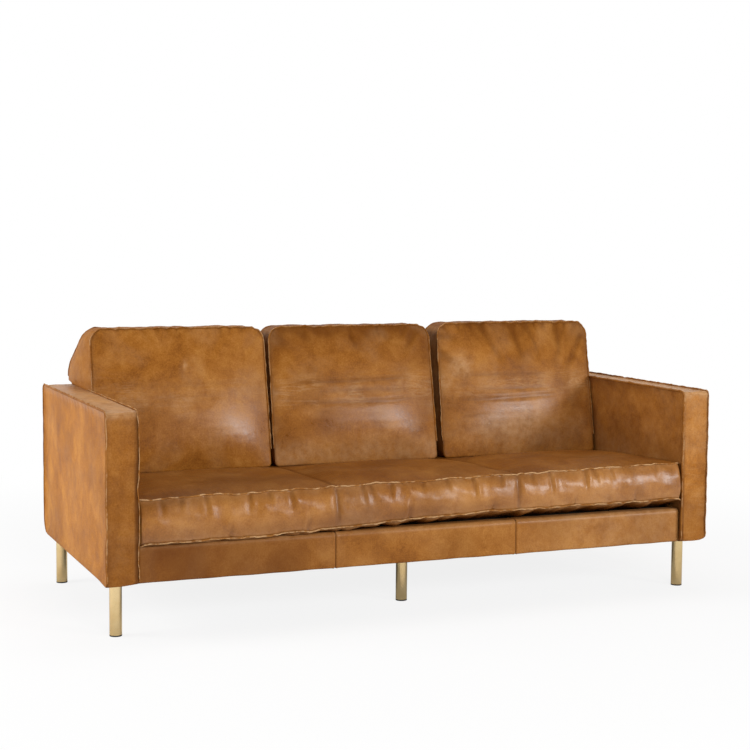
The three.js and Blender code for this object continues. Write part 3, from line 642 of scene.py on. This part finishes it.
def arm(side, sign, toe):
    """Slab: the border strip is a rounded rectangle in side view, which stands out by a shallow
    bow between its seams. Its rear lower corner is a large round, and the lower outer edge has
    the radius toe. The left arm's front foot droops by a few millimetres outwards."""
    half, height = (arm_back - arm_front) / 2, (arm_high - arm_low) / 2
    corner, rear_round, width = 16, 62, arm_outer - arm_inner
    stations = (seam_stations(half, corner, 44), seam_stations(height, corner, 25),
                np.array([-1, -0.84, -0.5, -0.16, 0.16, 0.5, 0.84, 1]))

    def shape(at):
        u, v = rounded(at[:, 0] * half, at[:, 1] * height, half, height, corner)
        x = arm_inner + width * (at[:, 2] + 1) / 2
        y = (arm_front + arm_back) / 2 - u * sign
        z = (arm_low + arm_high) / 2 + v
        end = ends(at)
        border = end[:, :2].any(1)
        bow = 4 * border * (1 - at[:, 2] ** 2)
        y = y - bow * sign * end[:, 0]
        z = z + bow * end[:, 1]
        wander = 0.8 + 1.8 * (sign < 0) * smooth((arm_front + 60 - y) / 50)
        wander *= border & (end[:, 2] != 0)
        x = x + wander * ripple(z - y, 1500, 150, 34 + sign)
        y, z = cut_corner(y - arm_back + rear_round, arm_low + rear_round - z, rear_round)
        y, z = y + arm_back - rear_round, arm_low + rear_round - z
        x, z = cut_corner(x - arm_outer + toe, arm_low + toe - z, toe)
        x, z = x + arm_outer - toe, arm_low + toe - z
        foot = hump(z - arm_low, 40) * smooth((arm_front + 130 - y) / 130)
        z = z - 5 * foot * (x - arm_inner) / width * (sign < 0)
        return np.stack([x * sign, y, z], 1)

    def pins(at):
        edge = np.abs(at[:, :2]).max(1)
        border = edge > 0.999
        hold = (border & (ends(at)[:, 2] != 0)) | (at[:, 1] < -0.96)
        return hold.astype(float), np.where(border, 1, smooth((edge - 0.8) / 0.2))

    at, points, quads, ids = stuffed(
        shape, pins, stations, pressure=5, reach=6, frames=8, stretch=0.03, bend=0.2)
    points[:, 0] = sign * np.maximum(points[:, 0] * sign, arm_inner - 0.6)
    x, y, z = points.T
    edge = ends(at)[:, :2].any(1)
    top = smooth((z - arm_high + 30) / 30)
    front = edge & (y < arm_front + 12)
    rub = np.where(edge, 0.12 + 1.15 * top, 0.16) + 0.16 * patches(y, z, 240, 5)
    rub += 0.4 * (front & (sign > 0)) * smooth((z - 380) / 160)
    from_seam = (1 - np.abs(at[:, 2])) * 51
    inward = np.minimum((1 - np.abs(at[:, 0])) * half, (1 - np.abs(at[:, 1])) * height)
    # Painted shadow: a dark line beside each seam, where the lip stands out. Painted shade: the
    # inner panels, more so low down, and the whole front strip of the left arm. The front strips
    # also darken towards the bottom, and clouds vary the tone.
    burnish = np.where(edge, 0.75 * fading(from_seam, 6), 0.45 * fading(inward, 9))
    burnish += 0.18 * patches(y + x, z, 330, 9)
    burnish += (sign * x < 960) * (0.3 + 0.34 * smooth((570 - z) / 90))
    burnish += front * (0.34 if sign > 0 else 0.24) * smooth((460 - z) / 220)
    burnish += 0.42 * (front & (sign < 0))
    piece = mesh_piece(f"arm_leather_{side}", points, quads, arm_leather, {
        "rub": rub, "burnish": burnish, "polish": 0.25 * top,
        "wrinkle": np.where(edge, 0.25, 0.12),
        "crease": np.where(front & (sign > 0), 0.45 * smooth((640 - z) / 120), 0.1 * edge)})
    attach(piece, "root")
    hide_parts(f"arm_cover_{side}", f"arm_foam_{side}")
    lips = []
    for layer, facing in ((0, -1), (-1, 1)):
        path, out = seam_ring(at, points, ids, layer, [(0, -sign, 0), (0, 0, 1)],
                              (-0.35 * facing * sign, 0, 0))
        lips.append(open_lip(path, out, path[:, 2] > arm_low + 8, height=5, thickness=2.8,
                             seed=40 + layer + (sign > 0) * 9, lean=0.9))
    add_lips(f"arm_seam_lips_{side}", lips, arm_leather)


arm("left", sign=-1, toe=3)
arm("right", sign=1, toe=22)


# Front rail: leather pulled round the timber rail in three panels, turned in and sewn where they
# meet. The top front edge is soft, and the seams lie in shallow grooves.
rail_leather = leather_finish("rail_leather", 0.94)
seat_slope = math.tan(math.radians(2))
rail_face, rail_top = -455, 285
panel_seams = (-318, 318)
inside_half, section = 948, 632
leather_half, leather_thickness = 947, 1.9


def between_seams(x, power):
    """0 at the seams of the three sections between the arms, and 1 in their middles."""
    return np.abs(np.sin(np.pi * (x + inside_half) / section)) ** power


def at_seams(x, width, seams=panel_seams):
    return sum(hump(x - seam, width) for seam in seams)


def deck_height(y):
    return rail_top - (y - rail_face) * seat_slope


def round_path(corners, steps=6):
    """A path through corners, each rounded by its radius with an arc of even steps."""
    corners = np.array(corners, float)
    path = [corners[0, :2]]
    for before, here, after in zip(corners[:-2], corners[1:-1], corners[2:]):
        back, ahead = unit(before[:2] - here[:2]), unit(after[:2] - here[:2])
        half_turn = np.arccos(np.clip(back @ ahead, -1, 1)) / 2
        reach = here[2] / np.tan(half_turn)
        centre = here[:2] + unit(back + ahead) * here[2] / np.sin(half_turn)
        first, last = here[:2] + back * reach - centre, here[:2] + ahead * reach - centre
        start = np.arctan2(first[1], first[0])
        sweep = (np.arctan2(last[1], last[0]) - start + np.pi) % (2 * np.pi) - np.pi
        turn = start + sweep * np.linspace(0, 1, steps)
        path.extend(centre + here[2] * np.stack([np.cos(turn), np.sin(turn)], 1))
    path.append(corners[-1, :2])
    return np.array(path)


def even_path(path, step):
    """The same path with its points spread evenly."""
    lengths = np.concatenate([[0], np.cumsum(np.linalg.norm(np.diff(path, axis=0), axis=1))])
    at = np.linspace(0, lengths[-1], max(int(lengths[-1] / step), 2) + 1)
    return np.stack([np.interp(at, lengths, path[:, i]) for i in (0, 1)], 1), at


def wrapped_sheet(name, corners, step_x, step_s, shape, paint, node_name):
    """Leather carried along X on a side-view path. shape gives how far each point stands out,
    and its marks, from X, the place along the path, Y and Z."""
    path, s = even_path(round_path(corners), step_s)
    x = np.linspace(-leather_half, leather_half, int(2 * leather_half / step_x) + 1)
    x = np.unique(np.concatenate([x] + [seam + np.linspace(-9, 9, 13) for seam in panel_seams]))
    tangent = unit(np.gradient(path, axis=0))
    grid_x, grid_s = np.meshgrid(x, s, indexing="ij")
    y, z = (np.broadcast_to(path[:, axis], grid_x.shape) for axis in (0, 1))
    stand, marks = shape(grid_x, grid_s, y, z)
    points = np.stack([grid_x, y + tangent[:, 1] * stand, z - tangent[:, 0] * stand], -1)
    piece = mesh_piece(name, points.reshape(-1, 3), sheet_quads(grid_x), paint,
                       {key: value.ravel() for key, value in marks.items()})
    thicken(piece, leather_thickness * mm)
    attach(piece, "root")
    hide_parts(node_name)


def seam_groove(x, seams, width, depth):
    """Groove with a soft lip on each side of every seam."""
    total = np.zeros_like(x)
    for seam in seams:
        off = (x - seam) / width
        total += depth * (0.35 * hump(np.abs(off) - 2.4, 1.2) - hump(off, 1))
    return total


def rail_shape(x, s, y, z):
    """Panels swell a little between their seams and wander by under a millimetre."""
    swell = 1.6 * between_seams(x, 0.5) * np.exp(-((z - 228) / 46) ** 4)
    stand = swell + seam_groove(x, panel_seams, 2.4, 2.8) + 0.5 * field(x, z, 160, 21)
    top = hump(z - 281, 7)
    # Painted shade: the rail darkens towards its left end, where the seat cushion overhangs it.
    # Clouds vary the tone, and the seams are dark lines.
    left_shade_and_tone = 0.12 + 0.7 * smooth((-60 - x) / 620) + 0.25 * patches(x, z, 260, 4)
    rub = 0.45 * top + 0.4 * smooth((x - 200) / 500) + 0.1 * patches(x, z, 190, 8)
    return stand, {"burnish": np.clip(0.9 * at_seams(x, 3) + left_shade_and_tone, 0, 1), "rub": rub,
                   "polish": 0.3 + 0.5 * top, "wrinkle": 0.2 + 0 * x}


rail_path = [
    (-410, 173, 0), (rail_face + 0.5, 173, 5), (rail_face + 0.5, rail_top, 13),
    (-410, deck_height(-410), 0),
]
wrapped_sheet("front_rail_leather", rail_path[::-1], step_x=6, step_s=4, shape=rail_shape,
              paint=rail_leather, node_name="rail_cover")


# Back: leather over the foam of the inside back, across the top of the frame and down the
# outside, turned under the rear rail. A raised seam runs along the top rear edge.
back_leather = leather_finish("back_leather", 1)
back_seams = (-316, 316)


def back_shape(x, s, y, z):
    """The outside back is three taut panels. The inside is softer."""
    outside = smooth((y - 440) / 25)
    stand = outside * (2.2 * between_seams(x, 0.6) + seam_groove(x, back_seams, 2.8, 1.8) - 2.4)
    top = hump(z - 688, 12)
    burnish = 0.9 * outside * at_seams(x, 3.2, back_seams) + 0.3 * patches(x, s, 300, 14)
    return stand + 0.6 * field(x, s, 210, 31), {
        "burnish": np.clip(burnish, 0, 1), "rub": 0.5 * top + 0.12 * patches(x, s, 170, 18),
        "polish": 0.3 * top, "wrinkle": 0.25 + 0 * x}


back_path = [
    (302.5, 259.6, 0), (372.3, 689.6, 12), (470, 689.6, 10), (470, 173, 9),
    (426, 173, 0),
]
wrapped_sheet("back_leather_sheet", back_path[::-1], step_x=7, step_s=6, shape=back_shape,
              paint=back_leather, node_name="back_cover")
top_x = np.arange(-944, 944.1, 5)
top_edge = np.stack([top_x, np.full_like(top_x, 466.5), np.full_like(top_x, 685.5)], 1)
top_out = np.tile(np.array([0, 0.62, 0.78]), (len(top_x), 1))
add_lips("back_seam_lip", [
    raw_lip(top_edge, top_out, height=5, thickness=2.6, seed=77)], back_leather)


# Seat cushion: one long boxed cushion in three sections over foam and feather. Its front border
# bulges and puckers between two raised seams, and its front edge has curled off the rail.
seat_leather = leather_finish("seat_leather", 0.98)
seat_front, seat_back, seat_half = -466, 296, 946.5
rest_line = 90  # Y from which the back cushions press on the seat


def seat_surface(y):
    """Height of the seat's top where the back cushions stand on it, falling to the back."""
    return 436 - (y + 474) * seat_slope


def front_lift(x):
    """How far the seat's front edge has curled up off the rail, more and more to the right."""
    return 9 + 31 * smooth(0.72 + x / 1000)


def line_fold(u, v, line, width, depth, fade_in=0.25, fade_out=0.25):
    """A crease along a bent line: a valley with one raised lip, fading out at its ends. Gives
    how far the surface stands out, and the share of the valley at each point."""
    line = np.array(line, float)
    reaches = np.diff(line, axis=0)
    lengths = np.linalg.norm(reaches, axis=1)
    best, signed, place = np.full(u.shape, 1e9), np.zeros(u.shape), np.zeros(u.shape)
    done = 0
    for start, reach, length in zip(line, reaches, lengths):
        t = np.clip(((u - start[0]) * reach[0] + (v - start[1]) * reach[1]) / length ** 2, 0, 1)
        off_u, off_v = u - start[0] - t * reach[0], v - start[1] - t * reach[1]
        far = np.hypot(off_u, off_v)
        closer = far < best
        best = np.where(closer, far, best)
        side = np.sign(reach[0] * off_v - reach[1] * off_u)
        signed = np.where(closer, far * side, signed)
        place = np.where(closer, (done + t * length) / lengths.sum(), place)
        done += length
    fade = smooth(place / fade_in) * smooth((1 - place) / fade_out)
    valley = hump(signed, width)
    lip = hump(signed - 1.7 * width, 1.2 * width)
    return depth * fade * (0.65 * lip - valley), fade * valley


# Each border pucker of the seat: its place along X, how far it leans, its length and its depth.
seat_puckers = [
    (-880, 6, 44, 2.2), (-815, -8, 34, 1.8), (-742, 6, 52, 3), (-668, 4, 38, 2.2),
    (-600, -8, 46, 2.6), (-540, 6, 34, 2), (-470, 7, 46, 2.8), (-418, 8, 52, 3.2),
    (-233, 10, 48, 3), (-204, 8, 36, 2.2), (-129, -8, 44, 3), (-75, 9, 52, 3.6),
    (-18, -6, 30, 2), (62, 8, 36, 2.4), (156, 5, 58, 4.6), (222, 10, 34, 2.4),
    (262, -8, 32, 2.2), (372, 8, 34, 2.2), (439, 3, 62, 4.6), (528, 8, 34, 2.2),
    (574, -4, 60, 4.2), (604, 14, 40, 2.6), (670, 10, 46, 2.8), (760, 8, 34, 1.8),
    (850, -6, 36, 1.8),
]


def seat_cushion():
    """Long box: its top follows the seat's fall to the back, stands up between the sections'
    seams and rises to the right at the front. Its underside lies on the deck, less the curl."""
    half, depth, corner = seat_half, (seat_back - seat_front) / 2, 16
    stations = (seam_stations(half, corner, 150), seam_stations(depth, corner, 44),
                np.array([-1, -0.9, -0.72, -0.5, -0.26, 0, 0.26, 0.5, 0.72, 0.9, 1]))

    def shape(at):
        x, v = rounded(at[:, 0] * half, at[:, 1] * depth, half, depth, corner)
        y = (seat_front + seat_back) / 2 + v
        back = y - seat_front
        end = ends(at)

        def wave(size, seed):
            return ripple(x, 2 * half, size, seed)

        crown = 11 * between_seams(x, 0.5) + 2.2 * field(x, y, 260, 63)
        crown *= (1 - np.abs(at[:, 1]) ** 3) * smooth((rest_line - y) / 150)
        crown += 1.8 * wave(58, 71) * fading(back, 45) * (1 - hump(back, 9))
        edge = (1.6 * wave(260, 61) + 1.1 * wave(70, 62) - 3) * hump(back, 55)
        rise = 11 * x / inside_half * smooth((rest_line - y) / (rest_line - seat_front))
        top = seat_surface(y) + rise + edge + crown
        curl = smooth((150 - back) / 150)
        bottom = deck_height(y) + 0.6
        bottom += curl * (front_lift(x) + 1.4 * wave(180, 64) + wave(60, 65))
        z = bottom + (top - bottom) * (at[:, 2] + 1) / 2
        behind = np.maximum(back, 0)
        sag = 15 * (1 - fading(behind, 9)) * (1 + 0.25 * wave(90, 72))
        z = np.where(end[:, 2] < 0, np.maximum(z - sag, deck_height(y) + 0.6), z)
        bow = np.where(end[:, 1] < 0, 1 - np.abs(at[:, 2]) ** 2.4, 0)
        tilt = 10 * (at[:, 2] + 0.3) * fading(behind, 40)
        return np.stack([x, y + tilt - bow * (15 - 7 * at_seams(x, 12)), z], 1)

    def pins(at):
        x, y = at[:, 0] * half, (seat_front + seat_back) / 2 + at[:, 1] * depth
        end = ends(at)
        top_panel, front_side = end[:, 2] > 0, end[:, 1] < 0
        on_rim = (end[:, 2] != 0) & end[:, :2].any(1)
        seam_line = np.min([np.abs(x - seam) for seam in panel_seams], axis=0) < 7
        hold = on_rim | (end[:, 2] < 0) | (end[:, 0] != 0) | (end[:, 1] > 0)
        hold = hold | (top_panel & (y > rest_line - 6)) | (seam_line & (top_panel | front_side))
        slack = np.where(front_side, 1, 0.25 + 0.6 * fading(y - seat_front, 60))
        return hold.astype(float), np.clip(slack, 0, 1)

    at, points, quads, ids = stuffed(shape, pins, stations, pressure=7, reach=12, frames=11)
    x, y, z = points.T
    end = ends(at)
    front_side, top_panel, underside = end[:, 1] < 0, end[:, 2] > 0, end[:, 2] < 0
    drop, fold_mark = np.zeros(len(points)), np.zeros(len(points))
    upper = front_side & top_panel
    for number, (place, lean, length, deep) in enumerate(seat_puckers):
        near = np.abs(x - place) < 70
        if number % 4 != 3:
            edge_z, turn = np.interp(place, x[upper], z[upper]), -1
        else:
            edge_z, turn = rail_top + float(front_lift(np.array(place))) + 3, 1
        line = [(place, edge_z - 8 * turn), (place + 0.5 * lean, edge_z + turn * 0.6 * length),
                (place + lean, edge_z + turn * 1.45 * length)]
        stand, valley = line_fold(x[near], z[near], line, width=7, depth=1.9 * deep,
                                  fade_in=0.06, fade_out=0.7)
        drop[near] += stand
        fold_mark[near] += valley
    seams = at_seams(x, 3.4)
    points[:, 1] -= drop * (front_side & (np.abs(at[:, 2]) < 0.98))
    points[:, 1] += front_side * (1.5 * field(x, 1.4 * z, 80, 68) + 2.4 * seams)
    points[:, 2] -= 2.6 * seams * (top_panel & (y < rest_line))
    behind = top_panel & (y > rest_line)
    points[behind, 2] = np.minimum(z[behind], seat_surface(y[behind]) - 0.4)
    points[:, 0] = np.clip(points[:, 0], 0.4 - inside_half, inside_half - 0.4)

    gap = np.where(front_side, (1 - np.abs(at[:, 2])) * 70, np.maximum(y - seat_front, 0))
    to_right = smooth(x / 600)
    rub = 0.5 * fading(gap, 8) + np.where(front_side, 0.1 + 0.14 * to_right, 0)
    rub += np.where(top_panel, 0.08, 0.18) * patches(x, y, 210, 66)
    # Dark lines at the section seams, and clouds of tone. Painted shade: the top panel is darker
    # all over and more so towards the back cushions, the underside is dark, and the front border
    # is darker low down, near its top seam and in its pucker valleys, less so to the right.
    burnish = at_seams(x, 5.5) + 0.3 * patches(x, y + z, 300, 67)
    burnish += np.where(top_panel, 0.66 + 0.25 * smooth((y - rest_line + 120) / 120), 0)
    burnish += np.where(underside, np.where(front_side, 0.35, 1.1), 0)
    shade = 0.42 * smooth((-0.05 - at[:, 2]) / 0.7) + 0.3 * smooth((at[:, 2] - 0.45) / 0.4)
    shade = (0.14 + shade) * (1 - 0.6 * smooth((x - 100) / 500))
    burnish += front_side * (shade + 0.35 * np.clip(fold_mark, 0, 1))
    piece = mesh_piece("seat_cushion", points, quads, seat_leather, {
        "rub": np.clip(rub, 0, 1), "burnish": np.clip(burnish, 0, 1),
        "wrinkle": np.where(front_side, 0.25, 0.3 + 0.4 * fading(gap, 40)),
        "polish": np.where(front_side, 0.86 + 0.14 * to_right, 0.06)})
    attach(piece, "root")
    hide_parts("seat_cushion_cover", "seat_cushion_core")

    lips = []
    for layer, facing in ((-1, 1), (0, -1)):
        path, out = seam_ring(at, points, ids, layer, [(1, 0, 0), (0, 1, 0)],
                              (0, 0, 0.45 * facing))
        order = np.flatnonzero((path[:, 1] < seat_front + 20) & (np.abs(path[:, 0]) < 944))
        order = order[np.argsort(path[order, 0])]
        lips.append(raw_lip(path[order], out[order], height=6.2, thickness=4, seed=80 + layer))
    add_lips("seat_seam_lips", lips, seat_leather, 0.7)


seat_cushion()


# Back cushions: three loose boxed cushions of feather over foam. Each leans back, bulges low
# down, creases across its middle, gathers at its top seam, and slumps over the frame's top.
cushion_leather = leather_finish("cushion_leather", 1)
frame_top, inside_back_top = 690, 372
clear_of_frame = frame_top + 1
inside_back_slope = (inside_back_top - 302) / (frame_top - 258.6)


def inside_back(z):
    """Y of the sloping face that the back cushions lean on."""
    return inside_back_top - (frame_top - z) * inside_back_slope


def gathers(half, top, count, seed):
    """Short folds that fan down from a cushion's top seam, at random places, slants and sizes."""
    pick = np.random.default_rng(seed)
    made = []
    for place in np.linspace(-0.88, 0.88, count) * half:
        place += pick.uniform(-12, 12)
        length = pick.uniform(28, 74)
        lean = pick.uniform(0.15, 0.75) * length * (1 if place < 0.5 * half else -1)
        line = (place, top - 5, place + 0.4 * lean, top - 5 - 0.5 * length,
                place + lean, top - 5 - length)
        made.append((line, pick.uniform(6, 10), pick.uniform(2.2, 4.6), 0.05, 0.8))
    return made


def back_cushion(name, middle, half, top, folds, seed, slump=0, push=0):
    """Boxed cushion: a rounded rectangle seen from the front, whose front face leans back and
    bellies low down over its bottom seam. Its rear follows the inside back and slumps over the
    top of the frame. slump is how far its left side hangs over the arm, push its lean to +X."""
    foot_y, corner, low_corner = 112, 46, 14
    foot = seat_surface(foot_y) + 0.8
    height, lean = (top - 5 - foot) / 2, math.tan(math.radians(11))
    stations = (seam_stations(half, corner, 40), seam_stations(height, corner, 28),
                np.array([-1, -0.9, -0.7, -0.46, -0.2, 0.06, 0.32, 0.56, 0.76, 0.92, 1]))

    def shape(at):
        side, rise, front = at.T
        u, v = rounded(side * half, rise * height, half, height, corner)
        u_low, v_low = rounded(side * half, rise * height, half, height, low_corner)
        low = rise < 0
        u, v = np.where(low, u_low, u), np.where(low, v_low, v)
        share = (v / height + 1) / 2
        z = foot + height + v
        x = middle + u * (1 - 0.012 * smooth(share)) + push * share
        up = np.clip((z - frame_top) / (2 * height + foot - frame_top), 0, 1)
        y_top = foot_y + 2 * height * lean + 96
        rear = inside_back(np.minimum(z, frame_top)) - 1 + 84 * smooth((z - clear_of_frame) / 14)
        rear += (y_top - 456) * smooth((up - 0.12) / 0.88) + 9 * np.sin(np.pi * up) ** 2
        y_front = foot_y + (z - foot) * lean
        depth = (1 - front) / 2
        y = y_front + (rear - y_front) * depth
        hang = smooth((z - clear_of_frame) / 8) * (1 - 0.7 * smooth((up - 0.3) / 0.7))
        x -= slump * hang * smooth(-u / half) * smooth(depth * 2.2)
        belly = (1 - np.abs(side) ** 3.4) * (1 - np.abs(rise) ** np.where(low, 7, 2.6))
        belly *= 15 + 20 * hump(rise + 0.57, 0.46)
        end = ends(at)
        y -= np.where(end[:, 2] > 0, belly, 0)
        z += (seat_surface(y) - foot + 0.8) * (1 - smooth((rise + 1) * 4))
        z += 1.1 * ripple(x + z, 900, 130, seed) * end[:, :2].any(1) * smooth((z - foot - 60) / 60)
        return np.stack([x, y, z], 1)

    def pins(at):
        end = ends(at)
        border = end[:, :2].any(1)
        hold = ((end[:, 2] != 0) & border) | (end[:, 1] < 0)
        hold = hold | ((end[:, 2] < 0) & (at[:, 1] * height + height + foot < 705))
        gather = fading((1 - at[:, 1]) * height, 70)
        gather += 0.6 * fading((1 - np.abs(at[:, 0])) * half, 45)
        slack = np.where(border, 0.3, gather * smooth((at[:, 1] + 0.5) / 0.6))
        return hold.astype(float), np.clip(slack, 0, 1)

    at, points, quads, ids = stuffed(shape, pins, stations, pressure=7, reach=18, bend=0.12)
    x, y, z = points.T
    end = ends(at)
    face, border = end[:, 2] > 0, end[:, :2].any(1)
    stand, crease = np.zeros(len(points)), np.zeros(len(points))
    for line, width, deep, *fades in folds + gathers(half, top, 13, seed + 9):
        line = np.array(line, float).reshape(-1, 2) + (middle, 0)
        if fades and fades[0] < 0.2:
            line[0] += 22 * unit(line[0] - line[1])
        drop, valley = line_fold(x, z, line, width, deep, *fades)
        stand += drop
        crease += valley
    inner_face = face & (end[:, 0] == 0)
    points += point_normals(points, quads) * np.where(inner_face, stand, 0)[:, None]
    shift = push * np.clip((z - foot) / (2 * height), 0, 1)
    over_arm = slump * smooth((z - clear_of_frame) / 8)
    points[:, 0] = np.clip(points[:, 0], np.maximum(middle - half - 4 + shift, -947.8) - over_arm,
                           np.minimum(middle + half + 4 + shift, 947.8 + 8 * (z > 694)))
    x, y, z = points.T
    buried = (z < 685) & (y > inside_back(z) - 0.8)
    points[:, 1] = np.where(buried, inside_back(z) - 0.8, y)
    resting = (z > 670) & ((y > 371.5) | (np.abs(x) > 948.2))
    points[:, 2] = np.where(resting, np.maximum(z, clear_of_frame + 0.2), z)
    points[:, 2] = np.maximum(points[:, 2], seat_surface(points[:, 1]) + 0.3)

    to_top, to_side = (1 - at[:, 1]) * height, (1 - np.abs(at[:, 0])) * half
    band = hump(z - 668, 55) * face
    # Painted shadow: a dark line along the face's seam. Painted shade: the boxing strips round the
    # cushion and the valleys of the folds. The face also darkens towards the top, and clouds vary
    # the tone.
    burnish = 0.5 * fading(to_top, 60) + 0.55 * fading(to_top, 6)
    burnish += 0.2 * fading(to_side, 16) + 0.55 * fading(to_side, 5)
    burnish += 0.3 * patches(x, z, 230, seed + 1)
    burnish = np.where(border & ~face, 0.85, burnish) + 0.45 * np.clip(crease, 0, 1)
    rub = 0.3 * band + 0.28 * fading(to_side, 7) * smooth((z - foot - 30) / 60)
    rub += 0.25 * patches(x, z, 140, seed + 2)
    # The listed pale places: a scuff on the left cushion, and painted sheen and highlight on the
    # right one.
    for strength, place, level, wide, high in scuffs_and_painted_sheen[name]:
        rub += strength * hump(x - middle - place, wide) * hump(z - level, high) * face
    if name == "centre":
        burnish += 0.55 * fading(to_top, 90)
        rub += 0.75 * hump(z - foot - 40, 45) * face
    if name == "left":
        burnish *= 0.25
    belly = hump(at[:, 1] + 0.45, 0.45)
    piece = mesh_piece("back_cushion_" + name, points, quads, cushion_leather, {
        "rub": np.clip(rub, 0, 1.8), "burnish": np.clip(burnish, 0, 1),
        "polish": np.where(face, np.clip(0.08 + 0.92 * belly, 0, 1), 0), "crease": band,
        "wrinkle": np.clip(0.7 * fading(to_top, 60) + 0.15, 0, 1) * (1 - belly)})
    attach(piece, "root")
    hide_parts("back_cushion_cover_" + name, "back_cushion_core_" + name)

    lips = []
    for layer, facing in ((-1, -1), (0, 1)):
        path, out = seam_ring(at, points, ids, layer, [(1, 0, 0), (0, 0, 1)],
                              (0, 0.3 * facing, 0))
        shown = path[:, 2] > foot + (60 if facing < 0 else 300)
        lips.append(open_lip(path, out, shown, height=4.6 if facing < 0 else 2.4,
                             thickness=2.7, seed=seed + 5 + layer, lean=1.2))
    add_lips("back_seam_lips_" + name, lips, cushion_leather)


# Each pale place of a back cushion: its strength, its place in X from the cushion's middle and
# its Z, and how wide and high it is. The small one on the left cushion is the pale scuff. On the
# right cushion the broad one low down is partly worn leather and partly painted sheen, and the
# small one at its upper left, by the folds, is a painted highlight.
scuffs_and_painted_sheen = {
    "left": [(1.2, 9, 769, 5, 13)],
    "centre": [],
    "right": [(1.2, -5, 515, 215, 80), (1.3, -225, 745, 45, 42)],
}


# Each fold of a back cushion: its line in X from the cushion's middle and Z, its width and depth,
# and the shares of its length over which it fades in and out, a quarter each if not given.
left_folds = [
    ((-150, 700, 60, 705, 270, 709), 6, 2.2),
    ((-180, 662, 40, 668, 200, 664), 7, 1.4),
    ((-290, 868, -230, 838, -170, 800), 12, 4, 0.1, 0.7),
    ((-118, 880, -96, 842, -60, 800), 10, 3.2, 0.1, 0.7),
    ((-10, 884, 2, 836, -8, 780), 10, 2.6, 0.1, 0.7),
    ((150, 880, 120, 826, 90, 770), 11, 3.2, 0.1, 0.7),
    ((282, 862, 236, 816, 200, 760), 13, 4, 0.1, 0.7),
]
centre_folds = [
    ((-277, 700, 0, 704, 274, 710), 6, 2.8),
    ((-250, 632, 100, 630, 280, 640), 7, 2.4),
    ((-180, 668, 60, 672, 220, 664), 6, 1.2),
    ((-290, 862, -262, 838, -206, 812), 12, 4.4, 0.1, 0.7),
    ((-196, 880, -176, 850, -140, 820), 10, 3.2, 0.1, 0.7),
    ((-11, 868, 10, 830, 36, 792), 9, 4.6, 0.2, 0.6),
    ((114, 876, 134, 850, 168, 826), 10, 3.6, 0.1, 0.7),
    ((250, 872, 216, 820, 170, 760), 13, 3.8, 0.1, 0.7),
]
right_folds = [
    ((-265, 712, 0, 708, 160, 710), 5, 1.8),
    ((-200, 660, 0, 661, 150, 664), 5, 1.8),
    ((-290, 622, -80, 626, 150, 634, 210, 634), 7, 2.8),
    ((-250, 560, -190, 564, -130, 572), 7, 1.6),
    ((-296, 786, -250, 752, -212, 716), 13, 5, 0.1, 0.5),
    ((-304, 852, -250, 842, -180, 826), 12, 4.6, 0.1, 0.7),
    ((-130, 884, -95, 816, -44, 727), 13, 4.8, 0.1, 0.4),
    ((-6, 880, 20, 784, 45, 734), 10, 3.6, 0.1, 0.4),
    ((66, 878, 84, 812, 98, 734), 10, 3.4, 0.1, 0.4),
    ((190, 882, 184, 791, 150, 727), 12, 4, 0.1, 0.4),
    ((288, 842, 235, 759, 195, 702), 14, 5, 0.1, 0.4),
]
back_cushion("left", middle=-640, half=305, top=898, folds=left_folds, seed=101, slump=20)
back_cushion("centre", middle=-12, half=308, top=897, folds=centre_folds, seed=121)
back_cushion("right", middle=634.5, half=311.5, top=901, folds=right_folds, seed=141,
             push=5)
